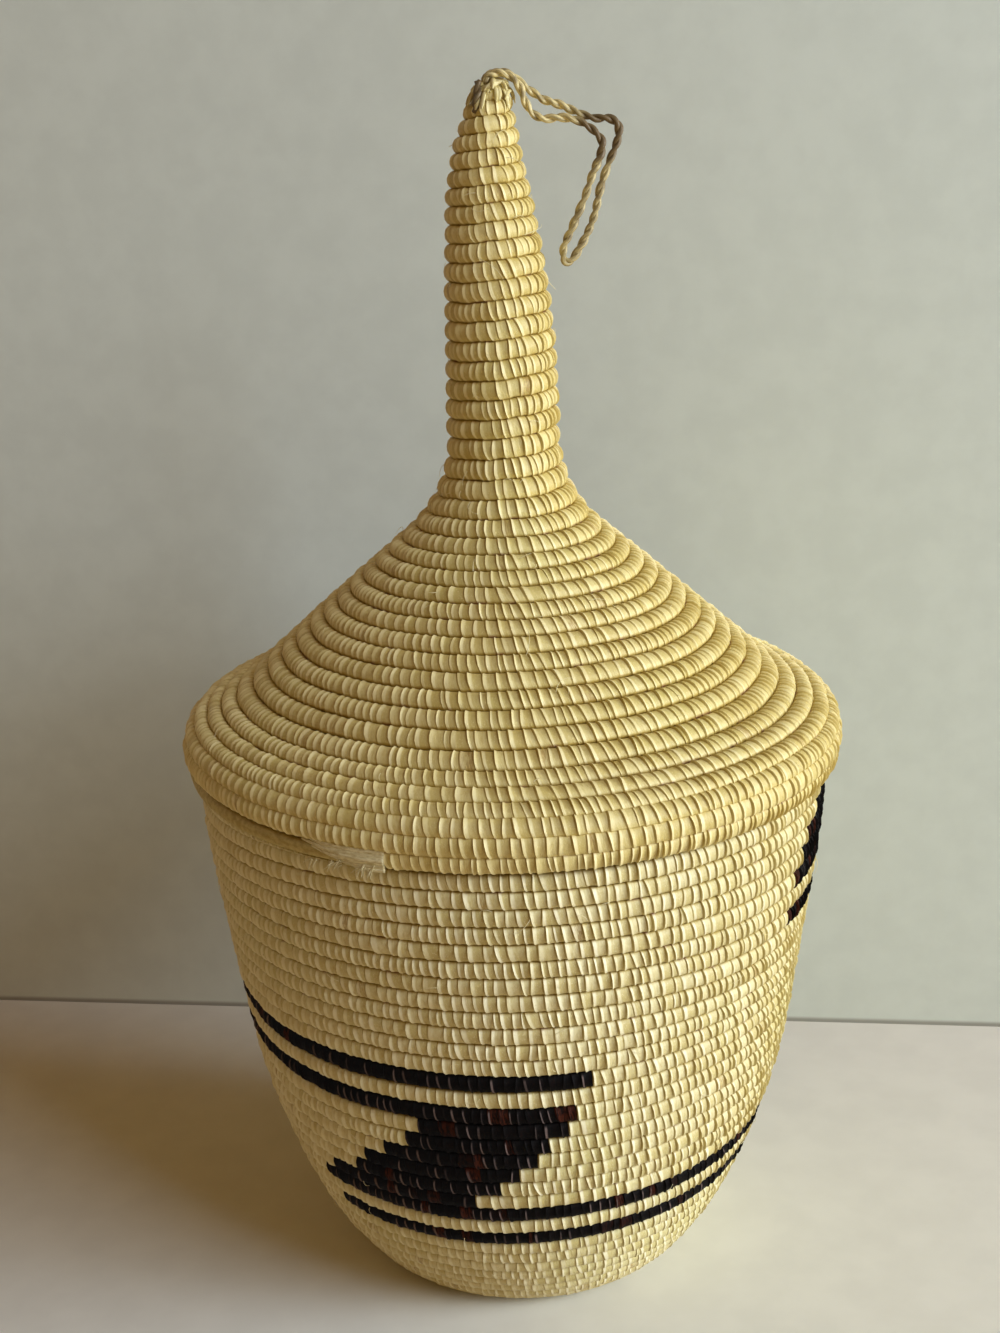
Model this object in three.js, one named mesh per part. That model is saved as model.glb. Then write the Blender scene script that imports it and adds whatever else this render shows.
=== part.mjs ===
// A lidded coiled basket. A grass bundle is wound in one long spiral and sewn turn to turn with flat
// fibre strands, first for the bucket-shaped body, then for the lid with its tall spire. Dyed sewing
// runs form stepped zigzag bands round the body, and a twine loop hangs from the tip of the spire.
// Millimetres, +Z up, front towards -Y, origin on the floor under the middle of the base.

import * as THREE from 'three';
import { toCreasedNormals } from 'three/addons/utils/BufferGeometryUtils.js';

const v2 = (r, z) => new THREE.Vector2(r, z);

// Coil and sewing
const BASKET_PITCH = 4.27; // from one turn of the coil to the next, along the wall of the basket
const LID_PITCH = 4.43; // and along the lid
const COIL_THICKNESS = 4.6; // through the wall
const GROOVE_DEPTH = 0.9; // from the crest of a turn to the groove beside it
const DYED_THICKNESS = 0.5; // dyed strands, flush with the natural ones
const FIT_GAP = 0.3; // between pieces that touch

// Basket body
const BASKET_HEIGHT = 131.3;
const BASE_RADIUS = 38.5;
const RIM_RADIUS = 76.6;
const STANDING_RING_WIDTH = 8; // flat ring that the basket stands on
const BASE_RISE = 1.5; // the middle of the base is domed up a little

// Lid
const LID_OVERHANG = 3.4; // past the rim of the basket
const LID_HEIGHT = 155.6; // from the seat on the rim to the tip
const LID_EDGE_TUCK = 2.6; // how far the last turn is drawn in under the edge
const LID_EDGE_HEIGHT = 7.2; // from the seat to the widest turn
const SHOULDER_WIDTH = 17.5; // rounded shoulder, measured inwards from the edge
const SHOULDER_RISE = 22.6; // and up from the seat
const SHOULDER_FULLNESS = 0.53; // how far the shoulder's bend reaches, as a share of its width
const SPIRE_HEIGHT = 77;
const SPIRE_ROOT_RADIUS = 13.3;
const SPIRE_LEAN = 1.9; // hand-made: the spire bows this far to the left
const FLARE_DROP = 13.3; // hollow curve between the spire and the cone
const FLARE_REACH = 14.2;
const TIP_RADIUS = 4.8;
const TIP_DROP = 2.6; // height of the rounded tip
const TIP_FULLNESS = 0.8; // how flat the tip is across its middle
const SPIRE_SWELL = v2(0.58, 0.17); // the spire widens this far in this share of its run
const SPIRE_STRAIGHT = 0.53; // from here down it has its full width
const SPIRE_BORE_RADIUS = 2.5; // where the hollow of the spire closes

// Collar, sewn under the lid and dropping into the mouth of the basket
const COLLAR_DEPTH = 11.5; // below the rim
const COLLAR_CLEARANCE = 0.6; // to the wall of the basket, all round
const COLLAR_THICKNESS = 4.4;

// Hanging loop, two-ply twine
const TWINE_DIAMETER = 2;
const TWINE_SPACING = 2.8; // between the two strands where they leave the tip
const TWINE_SIDES = 8;
const TWINE_STEPS = 64;

// Directions, in degrees round the basket, counter-clockwise seen from above
const FRONT = -90;
const BASKET_COIL_END = -115; // where the basket's coil tapers out at the rim
const LID_COIL_END = -113; // where the lid's coil tapers out at its edge

// Facets
const CHORD_ERROR = 0.4; // how far a facet along a turn may cut inside the true circle
const FEWEST_COLUMNS = 8;
const CREASE_ANGLE = Math.PI / 6; // sharper edges, such as the grooves, stay crisp when shaded
const FLAT_MARGIN = 0.5; // past each side of the standing ring
const COLUMN_MARGIN = 1.5 / 360; // part of a turn between a dyed run's end and the full coil beside it
const OUTLINE_SAMPLES = 600;

const COLOURS = {
  straw: 0xd9c793,
  shadedStraw: 0xcdb981,
  dyed: 0x15100f,
  twine: 0xc9b27c,
};

// Outlines: the crest line of the coil from the middle outwards, as [radius, height]

// The wall of the body as shares of its flare and height, from the base to the rim
const WALL_SHAPE = [
  [0, 0], [0.11, 0.02], [0.23, 0.06], [0.41, 0.145], [0.59, 0.27], [0.755, 0.435],
  [0.86, 0.625], [0.965, 0.855], [1, 1],
];

function basketOutline() {
  const standing = BASE_RADIUS - STANDING_RING_WIDTH;
  const flare = RIM_RADIUS - BASE_RADIUS;
  const path = new THREE.CurvePath();
  path.add(new THREE.QuadraticBezierCurve(v2(0, BASE_RISE), v2(standing / 2, BASE_RISE), v2(standing, 0)));
  path.add(new THREE.LineCurve(v2(standing, 0), v2(BASE_RADIUS, 0)));
  path.add(new THREE.SplineCurve(WALL_SHAPE.map(([out, up]) => v2(BASE_RADIUS + out * flare, up * BASKET_HEIGHT))));
  return path;
}

const SEAT_HEIGHT = BASKET_HEIGHT + FIT_GAP;
const LID_RADIUS = RIM_RADIUS + LID_OVERHANG;
const TIP_HEIGHT = SEAT_HEIGHT + LID_HEIGHT;
const SPIRE_ROOT_HEIGHT = TIP_HEIGHT - SPIRE_HEIGHT;

function lidOutline() {
  const shoulder = v2(LID_RADIUS - SHOULDER_WIDTH, SEAT_HEIGHT + SHOULDER_RISE);
  const widest = v2(LID_RADIUS, SEAT_HEIGHT + LID_EDGE_HEIGHT);
  const root = v2(SPIRE_ROOT_RADIUS, SPIRE_ROOT_HEIGHT);
  const neck = v2(TIP_RADIUS, TIP_HEIGHT - TIP_DROP);
  const corner = v2(SPIRE_ROOT_RADIUS, SPIRE_ROOT_HEIGHT - FLARE_DROP);
  const coneTop = shoulder.clone().sub(corner).setLength(FLARE_REACH).add(corner);
  const coneRun = shoulder.clone().sub(coneTop).setLength(SHOULDER_WIDTH * SHOULDER_FULLNESS).add(shoulder);
  const shoulderTop = v2(LID_RADIUS, widest.y + SHOULDER_WIDTH * SHOULDER_FULLNESS);
  const spire = root.clone().sub(neck);
  const path = new THREE.CurvePath();
  path.add(new THREE.QuadraticBezierCurve(v2(0, TIP_HEIGHT), v2(TIP_RADIUS * TIP_FULLNESS, TIP_HEIGHT), neck));
  path.add(new THREE.CubicBezierCurve(
    neck,
    spire.clone().multiply(SPIRE_SWELL).add(neck),
    v2(root.x, neck.y + spire.y * SPIRE_STRAIGHT),
    root,
  ));
  path.add(new THREE.QuadraticBezierCurve(root, corner, coneTop));
  path.add(new THREE.LineCurve(coneTop, shoulder));
  path.add(new THREE.CubicBezierCurve(shoulder, coneRun, shoulderTop, widest));
  path.add(new THREE.QuadraticBezierCurve(
    widest,
    v2(LID_RADIUS, SEAT_HEIGHT + LID_EDGE_TUCK),
    v2(LID_RADIUS - LID_EDGE_TUCK, SEAT_HEIGHT),
  ));
  return path;
}

// An outline with its length, its points and its outward normals by the distance along it. The
// outside is to the right of an outline that rises and to the left of one that falls.
function measured(path, falls = false) {
  const length = path.getLength();
  const samples = path.getSpacedPoints(OUTLINE_SAMPLES);
  const step = length / (samples.length - 1);
  const at = (distance) => {
    const place = THREE.MathUtils.clamp(distance / step, 0, samples.length - 1.001);
    const index = Math.floor(place);
    const point = samples[index].clone().lerp(samples[index + 1], place - index);
    const before = samples[Math.max(index - 1, 0)];
    const after = samples[Math.min(index + 2, samples.length - 1)];
    const along = after.clone().sub(before).normalize();
    const side = falls ? -1 : 1;
    return { r: point.x, z: point.y, nr: along.y * side, nz: -along.x * side };
  };
  return { length, at };
}

// Sideways bow of the lid's axis along the spire, widest at four fifths of its height
function spireLean(z) {
  const rise = Math.max(0, z - SPIRE_ROOT_HEIGHT) / SPIRE_HEIGHT;
  return -SPIRE_LEAN * Math.sin(Math.PI * rise ** 3);
}

// Meshes are gathered as points and triangles, with the faces pointing out
class Body {
  constructor() {
    this.points = [];
    this.normals = [];
    this.triangles = [];
  }

  addPoint(point, normal = new THREE.Vector3()) {
    this.points.push(point);
    this.normals.push(normal);
    return this.points.length - 1;
  }

  addTriangle(a, b, c, tag = null) {
    if (a !== b && b !== c && c !== a) this.triangles.push({ corners: [a, b, c], tag });
  }

  // Fills the strip between two lines of points, each point given as its place along the turn and
  // its number; the lines may have different numbers of points.
  fillStrip(lower, upper, tag = null) {
    let i = 0;
    let j = 0;
    while (i < lower.length - 1 || j < upper.length - 1) {
      const nextLower = i < lower.length - 1 ? lower[i + 1].place : Infinity;
      const nextUpper = j < upper.length - 1 ? upper[j + 1].place : Infinity;
      const start = Math.max(lower[i].place, upper[j].place);
      const middle = (start + Math.min(nextLower, nextUpper)) / 2;
      const mark = tag === null ? null : { ...tag, place: tag.turn + middle };
      if (Math.abs(nextLower - nextUpper) < 1e-9) {
        this.addTriangle(lower[i].id, lower[i + 1].id, upper[j].id, mark);
        this.addTriangle(lower[i + 1].id, upper[j + 1].id, upper[j].id, mark);
        i += 1;
        j += 1;
      } else if (nextLower < nextUpper) {
        this.addTriangle(lower[i].id, lower[i + 1].id, upper[j].id, mark);
        i += 1;
      } else {
        this.addTriangle(lower[i].id, upper[j + 1].id, upper[j].id, mark);
        j += 1;
      }
    }
  }

  geometry() {
    const geometry = new THREE.BufferGeometry();
    const positions = this.points.flatMap((point) => point.toArray());
    geometry.setAttribute('position', new THREE.Float32BufferAttribute(positions, 3));
    geometry.setIndex(this.triangles.flatMap(({ corners }) => corners));
    return toCreasedNormals(geometry, CREASE_ANGLE);
  }
}

// Places round a full circle in even steps, from 0 to 1
function evenPlaces(columns) {
  return Array.from({ length: columns + 1 }, (_, k) => k / columns);
}

function columnsFor(radius) {
  const needed = Math.PI / Math.acos(1 - CHORD_ERROR / Math.max(radius, 2 * CHORD_ERROR));
  return Math.max(Math.ceil(needed / 4) * 4, FEWEST_COLUMNS);
}

// A level ring of points at the radius and height given
function addRing(body, { r, z, endAngle, sense, lean, columns }) {
  const places = evenPlaces(columns ?? columnsFor(r));
  const ring = places.slice(0, -1).map((place) => {
    const angle = THREE.MathUtils.degToRad(endAngle) + sense * 2 * Math.PI * place;
    const point = new THREE.Vector3(r * Math.cos(angle) + lean(z), r * Math.sin(angle), z);
    return { place, id: body.addPoint(point) };
  });
  return [...ring, { place: 1, id: ring[0].id }];
}

// A coiled wall. The coil starts at the middle of its outline and winds outwards to a level edge,
// where its last turn tapers out. Each turn has a groove line and a crest line of points, and the
// groove line of the next turn closes it. The sense is 1 for counter-clockwise winding seen from
// above and -1 for clockwise. Dyed runs are parts of the coil, counted in turns from the middle.
function coiledWall({ outline, coilPitch, endAngle, sense, lean, isFlat, runs, innerProfile }) {
  const body = new Body();
  const turns = Math.round(outline.length / coilPitch);
  const pitch = outline.length / turns;
  const isDyed = (place) => runs.some((run) => place > run.from && place < run.to);

  const surfacePoint = (place, distance, groove) => {
    const { r, z, nr, nz } = outline.at(distance);
    const angle = THREE.MathUtils.degToRad(endAngle) + sense * 2 * Math.PI * (place - turns);
    const inset = isFlat(distance) ? 0 : groove;
    const radius = Math.max(0, r - nr * inset);
    const height = z - nz * inset;
    const point = new THREE.Vector3(radius * Math.cos(angle) + lean(z), radius * Math.sin(angle), height);
    return body.addPoint(point, new THREE.Vector3(nr * Math.cos(angle), nr * Math.sin(angle), nz));
  };

  // Places along each turn: even steps, and the ends of the dyed runs with a margin past them
  const placesOf = (turn) => {
    const even = evenPlaces(columnsFor(outline.at((turn + 0.5) * pitch).r));
    const ends = new Set();
    for (const run of runs) {
      for (const [end, past] of [[run.from, -COLUMN_MARGIN], [run.to, COLUMN_MARGIN]]) {
        const offset = end - turn;
        if (offset > 0 && offset < 1) ends.add(offset).add(THREE.MathUtils.clamp(offset + past, 0.001, 0.999));
        if (offset + 1 > 0 && offset + 1 < 1) ends.add(offset + 1);
      }
    }
    const kept = even.filter((place) => [...ends].every((end) => Math.abs(end - place) > COLUMN_MARGIN / 2)
      || place === 0 || place === 1);
    return [...new Set([...kept, ...ends])].sort((a, b) => a - b);
  };

  // Lines of points, turn by turn; the end of one turn's line is the start of the next one's
  const grooves = [];
  const crests = [];
  const edgeStart = surfacePoint(turns, outline.length, GROOVE_DEPTH / 2);
  for (let turn = 0; turn < turns; turn += 1) {
    const last = turn === turns - 1;
    const shared = turn > 0;
    const places = placesOf(turn);
    grooves.push(places.map((place, k) => {
      if (k === 0 && shared) return { place, id: grooves[turn - 1].at(-1).id };
      if (place === 1 && last) return { place, id: edgeStart };
      return { place, id: surfacePoint(turn + place, (turn + place) * pitch, GROOVE_DEPTH) };
    }));
    crests.push(places.map((place, k) => {
      if (k === 0 && shared) return { place, id: crests[turn - 1].at(-1).id };
      if (place === 1 && last) return { place, id: edgeStart };
      const lower = (turn + place) * pitch;
      const upper = last ? outline.length : lower + pitch;
      return { place, id: surfacePoint(turn + place, (lower + upper) / 2, 0) };
    }));
  }
  const edge = placesOf(turns - 1).map((place) => {
    if (place === 0 || place === 1) return { place, id: edgeStart };
    return { place, id: surfacePoint(turns - 1 + place, outline.length, GROOVE_DEPTH / 2) };
  });

  // Middle of the coil: a fan over the first groove line and the coil's start
  const first = grooves[0];
  const middle = first[0].id;
  for (let k = 1; k < first.length - 1; k += 1) body.addTriangle(first[k + 1].id, first[k].id, middle);
  body.addTriangle(middle, crests[0][0].id, first.at(-1).id);

  for (let turn = 0; turn < turns; turn += 1) {
    const upper = turn === turns - 1 ? edge : grooves[turn + 1];
    body.fillStrip(grooves[turn], crests[turn], { turn });
    body.fillStrip(crests[turn], upper, { turn });
  }

  // Over the edge and back along the inside to its middle
  let ring = edge;
  for (const { r, z } of innerProfile) {
    const next = addRing(body, { r, z, endAngle, sense, lean });
    body.fillStrip(ring, next);
    ring = next;
  }
  const bottom = innerProfile.at(-1);
  const centre = body.addPoint(new THREE.Vector3(lean(bottom.z), 0, bottom.z));
  for (let k = 0; k < ring.length - 1; k += 1) body.addTriangle(ring[k].id, ring[k + 1].id, centre);

  // Dyed pieces are lifted off the surface before the wall is recessed under them
  const surface = { points: body.points.map((point) => point.clone()), normals: body.normals, triangles: body.triangles };
  const dyed = new Set(body.triangles.filter(({ tag }) => tag && isDyed(tag.place)).flatMap(({ corners }) => corners));
  for (const id of dyed) body.points[id].addScaledVector(body.normals[id], -(DYED_THICKNESS + FIT_GAP));
  return { body, surface, turns };
}

// One dyed piece: the part of the surface that its runs cover, as a thin closed shell
function dyedPiece(surface, runs) {
  const covered = surface.triangles.filter(({ tag }) => tag
    && runs.some((run) => tag.place > run.from && tag.place < run.to));
  const piece = new Body();
  const outer = new Map();
  const inner = new Map();
  for (const id of new Set(covered.flatMap(({ corners }) => corners))) {
    outer.set(id, piece.addPoint(surface.points[id].clone()));
    inner.set(id, piece.addPoint(surface.points[id].clone().addScaledVector(surface.normals[id], -DYED_THICKNESS)));
  }
  const borders = new Map();
  for (const { corners: [a, b, c] } of covered) {
    piece.addTriangle(outer.get(a), outer.get(b), outer.get(c));
    piece.addTriangle(inner.get(c), inner.get(b), inner.get(a));
    for (const [from, to] of [[a, b], [b, c], [c, a]]) {
      if (!borders.delete(`${to}>${from}`)) borders.set(`${from}>${to}`, [from, to]);
    }
  }
  for (const [from, to] of borders.values()) {
    piece.addTriangle(outer.get(to), outer.get(from), inner.get(from));
    piece.addTriangle(outer.get(to), inner.get(from), inner.get(to));
  }
  return piece.geometry();
}

// Pattern of the dyed runs. Rows are counted down from the rim at the front, and angles are in
// degrees from the front along the coil, counter-clockwise. A stepped block leans like a slash: it
// takes over from one bar at its top and hands on to the next bar at its bottom.
const BLOCK_LEFT_STEP = 5.1; // how far each row's left end moves, in degrees
const BLOCK_RIGHT_STEP = 3.6;
const BLOCK_WIDTH = 35.4; // of the bottom row, in degrees

function steppedBlock({ topRow, bottomRow, tip, leftStep = BLOCK_LEFT_STEP }) {
  const rows = [];
  for (let row = topRow; row <= bottomRow; row += 1) {
    const up = bottomRow - row;
    rows.push({ row, from: tip + leftStep * up, to: tip + BLOCK_WIDTH + BLOCK_RIGHT_STEP * up });
  }
  return rows;
}

const DYED_PATTERN = {
  dyed_runs_upper: [
    ...steppedBlock({ topRow: 1, bottomRow: 4, tip: 61.3, leftStep: 3.3 }),
    { row: 5, from: 58, to: 234 },
  ],
  dyed_runs_middle: [
    { row: 7, from: 57.5, to: 230.6 },
    ...steppedBlock({ topRow: 8, bottomRow: 13, tip: 175.1 }),
    { row: 14, from: 170, to: 373 },
  ],
  dyed_runs_lower: [
    { row: 15, from: -182, to: 9.5 },
    ...steppedBlock({ topRow: 16, bottomRow: 21, tip: -46 }),
    { row: 22, from: -51, to: 200 },
  ],
  dyed_run_lowest: [
    { row: 24, from: -48.5, to: 204 },
  ],
};

// A run's place along the coil, in turns from the middle of the base
function alongCoil({ row, from, to }, turns) {
  const atFront = turns - row + (FRONT - BASKET_COIL_END) / 360;
  return { from: atFront + from / 360, to: Math.min(atFront + to / 360, turns) };
}

// Inside of a wall: its outline moved in by the coil's thickness, from the edge to the middle
function insideOf(outline, { first, step, smallest }) {
  const rings = [];
  for (let distance = outline.length - first; distance > 0; distance -= step) {
    const { r, z, nr, nz } = outline.at(distance);
    const inside = { r: r - nr * COIL_THICKNESS, z: z - nz * COIL_THICKNESS };
    if (inside.r < smallest) break;
    rings.push(inside);
  }
  return rings;
}

function meshOf(name, geometry, colour, roughness) {
  const material = new THREE.MeshStandardMaterial({ color: colour, roughness, metalness: 0 });
  const mesh = new THREE.Mesh(geometry, material);
  mesh.name = name;
  return mesh;
}

const upright = () => 0;
const basketShape = measured(basketOutline());
const lidShape = measured(lidOutline(), true);
const standingFrom = measured(new THREE.QuadraticBezierCurve(
  v2(0, BASE_RISE),
  v2((BASE_RADIUS - STANDING_RING_WIDTH) / 2, BASE_RISE),
  v2(BASE_RADIUS - STANDING_RING_WIDTH, 0),
)).length;

// Basket body with its dyed pieces
function makeBasket() {
  const turns = Math.round(basketShape.length / BASKET_PITCH);
  const patterns = Object.entries(DYED_PATTERN)
    .map(([name, rows]) => [name, rows.map((row) => alongCoil(row, turns))]);
  const wall = coiledWall({
    outline: basketShape,
    coilPitch: BASKET_PITCH,
    endAngle: BASKET_COIL_END,
    sense: 1,
    lean: upright,
    isFlat: (distance) => Math.abs(distance - standingFrom - STANDING_RING_WIDTH / 2) < STANDING_RING_WIDTH / 2 + FLAT_MARGIN,
    runs: patterns.flatMap(([, runs]) => runs),
    innerProfile: [
      { r: RIM_RADIUS - COIL_THICKNESS, z: BASKET_HEIGHT },
      ...insideOf(basketShape, { first: BASKET_PITCH, step: BASKET_PITCH * 2.5, smallest: BASKET_PITCH }),
    ],
  });
  return [
    meshOf('basket_coil', wall.body.geometry(), COLOURS.straw, 0.6),
    ...patterns.map(([name, runs]) => meshOf(name, dyedPiece(wall.surface, runs), COLOURS.dyed, 0.5)),
  ];
}

// Lid: its inside follows the outline from above the seat to where the spire's hollow closes
const LID_SEAT_RADIUS = LID_RADIUS - LID_EDGE_TUCK - COIL_THICKNESS;
const LID_INSIDE = [
  { r: LID_SEAT_RADIUS, z: SEAT_HEIGHT },
  ...insideOf(lidShape, { first: LID_PITCH * 1.2, step: LID_PITCH * 2, smallest: SPIRE_BORE_RADIUS }),
];

function makeLid() {
  const wall = coiledWall({
    outline: lidShape,
    coilPitch: LID_PITCH,
    endAngle: LID_COIL_END,
    sense: -1,
    lean: spireLean,
    isFlat: (distance) => distance < LID_PITCH * 0.9,
    runs: [],
    innerProfile: LID_INSIDE,
  });
  return meshOf('lid_coil', wall.body.geometry(), COLOURS.straw, 0.6);
}

// Height of the lid's underside at a radius, between the rings of its inside
function undersideAt(radius) {
  const k = LID_INSIDE.findIndex(({ r, z }, index) => index > 1 && r <= radius && z > SEAT_HEIGHT);
  const [outer, inner] = [LID_INSIDE[k - 1], LID_INSIDE[k]];
  return THREE.MathUtils.mapLinear(radius, outer.r, inner.r, outer.z, inner.z);
}

// Collar: a few turns under the lid. Its outside keeps clear of the basket's mouth at every height
// that it reaches.
function makeCollar() {
  const body = new Body();
  const low = BASKET_HEIGHT - COLLAR_DEPTH;
  let mouth = RIM_RADIUS;
  for (let distance = basketShape.length; basketShape.at(distance).z > low - BASKET_PITCH; distance -= 1) {
    mouth = Math.min(mouth, basketShape.at(distance).r);
  }
  const outside = mouth - COIL_THICKNESS - CHORD_ERROR - COLLAR_CLEARANCE;
  const inside = outside - COLLAR_THICKNESS;
  const topOutside = undersideAt(outside) - FIT_GAP;
  const topInside = undersideAt(inside) - FIT_GAP;
  const count = Math.round((topOutside - low) / LID_PITCH);
  const pitch = (topOutside - low) / count;
  const profile = [{ r: inside, z: topInside }, { r: inside, z: low }];
  for (let turn = 0; turn < count; turn += 1) {
    profile.push({ r: outside - GROOVE_DEPTH / 2, z: low + turn * pitch });
    profile.push({ r: outside, z: low + (turn + 0.5) * pitch });
  }
  profile.push({ r: outside - GROOVE_DEPTH / 2, z: topOutside });
  const rings = profile.map(({ r, z }) => addRing(body, {
    r, z, endAngle: LID_COIL_END, sense: 1, lean: upright, columns: columnsFor(outside),
  }));
  rings.forEach((ring, k) => body.fillStrip(ring, rings[(k + 1) % rings.length]));
  return meshOf('lid_collar', body.geometry(), COLOURS.shadedStraw, 0.7);
}

// Hanging loop: out of the tip to the right, round a kink, down to the folded end and back. Points
// are offsets from the middle of the tip.
const LOOP_ROUTE = [
  [-1.8, 1, 0], [-1.5, 1, 1.2], [-0.4, 1, 2], [1.7, 1, 2.3], [4.1, 1, 1.7], [7.2, 1, -0.8], [10.9, 1, -3.5],
  [14.7, 1, -4.8], [18.7, 0.9, -6.6], [22.4, 0.9, -7.9], [25.6, 1, -8], [27.7, 1, -9.6], [27.5, 1, -12.8],
  [25.5, 1, -17.6], [23.6, 0.9, -22.8], [22.2, 0.8, -28.5], [20.3, 0.7, -33], [18.2, 0.5, -36.6],
  [16.4, 0.2, -38.9], [14.9, -0.2, -38.3], [15, -0.5, -35.4], [16.7, -0.7, -31.8], [18.3, -0.8, -28.3],
  [20, -0.9, -24.4], [21.6, -0.9, -20], [23.3, -0.9, -16.2], [23.8, -1, -13], [22, -1, -10.6],
  [18.8, -1, -8.5], [14.7, -0.9, -7.6], [11, -1, -7.8], [8.4, -1, -6.4], [6.9, -1, -3.9], [5.9, -1, -1.1],
  [4.2, -1, 1.1], [2, -1, 2.1], [-0.2, -1, 2], [-1.5, -1, 1.2], [-1.8, -1, 0],
];

function makeLoop() {
  const spread = TWINE_SPACING / 2;
  const tip = new THREE.Vector3(0, 0, TIP_HEIGHT + FIT_GAP);
  const route = LOOP_ROUTE.map(([x, side, z]) => new THREE.Vector3(x, side * spread, z).add(tip));
  const path = new THREE.CatmullRomCurve3(route, false, 'centripetal');
  const section = new THREE.Shape(Array.from({ length: TWINE_SIDES }, (_, k) => {
    const angle = (2 * Math.PI * k) / TWINE_SIDES;
    return v2(Math.cos(angle), Math.sin(angle)).multiplyScalar(TWINE_DIAMETER / 2);
  }));
  const geometry = new THREE.ExtrudeGeometry(section, { steps: TWINE_STEPS, bevelEnabled: false, extrudePath: path });
  return meshOf('hanging_loop', geometry, COLOURS.twine, 0.8);
}

const model = new THREE.Group();
const lid = new THREE.Group();
lid.add(makeLid(), makeCollar(), makeLoop());
model.add(...makeBasket(), lid);

export default model;
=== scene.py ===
"""Looks of a lidded coiled basket: a grass bundle wound in spirals and sewn with flat fibre strands,
dyed stepped bands, a spired lid and a twine hanging loop. Lengths in the formulas are millimetres."""

import math

import bpy
import numpy as np
from bpy.props import FloatProperty, FloatVectorProperty, PointerProperty
from mathutils import Matrix, Vector


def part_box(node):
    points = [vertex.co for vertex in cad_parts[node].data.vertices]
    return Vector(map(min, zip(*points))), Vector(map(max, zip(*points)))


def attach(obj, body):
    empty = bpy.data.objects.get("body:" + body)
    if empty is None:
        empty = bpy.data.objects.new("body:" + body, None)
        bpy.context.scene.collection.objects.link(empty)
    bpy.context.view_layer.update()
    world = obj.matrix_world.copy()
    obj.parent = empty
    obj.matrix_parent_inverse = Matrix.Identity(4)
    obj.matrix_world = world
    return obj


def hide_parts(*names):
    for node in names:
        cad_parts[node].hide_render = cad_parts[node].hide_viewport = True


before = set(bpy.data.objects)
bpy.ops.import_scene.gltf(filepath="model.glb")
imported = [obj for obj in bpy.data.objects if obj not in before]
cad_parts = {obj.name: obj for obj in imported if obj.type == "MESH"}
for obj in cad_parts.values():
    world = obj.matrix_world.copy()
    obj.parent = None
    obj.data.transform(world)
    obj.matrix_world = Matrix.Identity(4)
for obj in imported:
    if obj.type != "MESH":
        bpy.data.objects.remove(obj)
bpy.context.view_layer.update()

bl_info = {
    "name": "Coiled Basket",
    "version": (1, 0, 0),
    "blender": (4, 5, 0),
    "location": "3D View > Sidebar > Basket",
    "description": "Builds a lidded coiled basket stitch by stitch on its measured frame",
    "category": "Add Mesh",
}

MM = 0.001

# Directions in degrees round the basket, counter-clockwise seen from above
FRONT = -90.0
BASKET_COIL_END = -115.0
LID_COIL_END = -215.0
LID_SEWING_END = -112.5

# Body of the basket. The wall's points are shares of its flare outwards and of its height. Pitches
# are the distances between rows by the number of turns from the middle, as shares: together the rows
# fill the outline.
BASKET_HEIGHT = 131.3
BASE_RADIUS = 38.5
RIM_RADIUS = 76.6
STANDING_RING_WIDTH = 8.0
BASE_RISE = 1.5
WALL_SHAPE = (
    (0, 0), (0.11, 0.02), (0.23, 0.06), (0.41, 0.145), (0.59, 0.27), (0.755, 0.435),
    (0.86, 0.625), (0.965, 0.855), (1, 1),
)
BASKET_TURNS = 42
BASKET_PITCHES = ((0, 0.965), (16, 0.97), (19, 1.05), (30, 1.05), (31, 1), (42, 1))
BASKET_BANDS = {
    "basket_base_rows": (0, 17),
    "basket_lower_rows": (17, 24),
    "basket_middle_rows": (24, 30),
    "basket_upper_rows": (30, 36),
    "basket_rim_rows": (36, BASKET_TURNS),
}

# Sag of the rows on the right-hand side: its depth, its middle and reach in degrees to the right of
# the front, and its middle and reach in rows
BASKET_SAG = {"depth": 4.2, "side": 72, "reach": 42, "row": 34.5, "rows": 5}

# Lid
SEAT_HEIGHT = 131.6
LID_RADIUS = 80.0
LID_EDGE_TUCK = 2.6
LID_EDGE_HEIGHT = 7.2
SHOULDER_WIDTH = 17.5
SHOULDER_RISE = 22.6
SHOULDER_FULLNESS = 0.53
TIP_HEIGHT = 287.2
SPIRE_HEIGHT = 77.0
SPIRE_ROOT_RADIUS = 13.3
SPIRE_LEAN = 1.9
SPIRE_SWELL = (0.58, 0.17)
SPIRE_STRAIGHT = 0.53
FLARE_DROP = 13.3
FLARE_REACH = 14.2
TIP_RADIUS = 4.8
TIP_DROP = 2.6
TIP_FULLNESS = 0.8
LID_TURNS = 43
LID_PITCHES = ((0, 3.5), (5, 3.8), (12, 4.4), (20, 4.5), (30, 4.4), (36, 4.9), (43, 5.5))
LID_BANDS = {
    "lid_spire_rows": (0, 19),
    "lid_cone_rows": (19, 30),
    "lid_shoulder_rows": (30, 37),
    "lid_edge_rows": (37, LID_TURNS - (LID_SEWING_END - LID_COIL_END) / 360),
}

# Collar under the lid: its first turn has no width, so that the coil begins with a taper
COLLAR_THICKNESS = 4.4
COLLAR_PITCH = 4.2
COLLAR_TAPER = ((0, 0), (0.9, 0), (1, 1))
COLLAR_TOP_GAP = 0.5

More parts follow.
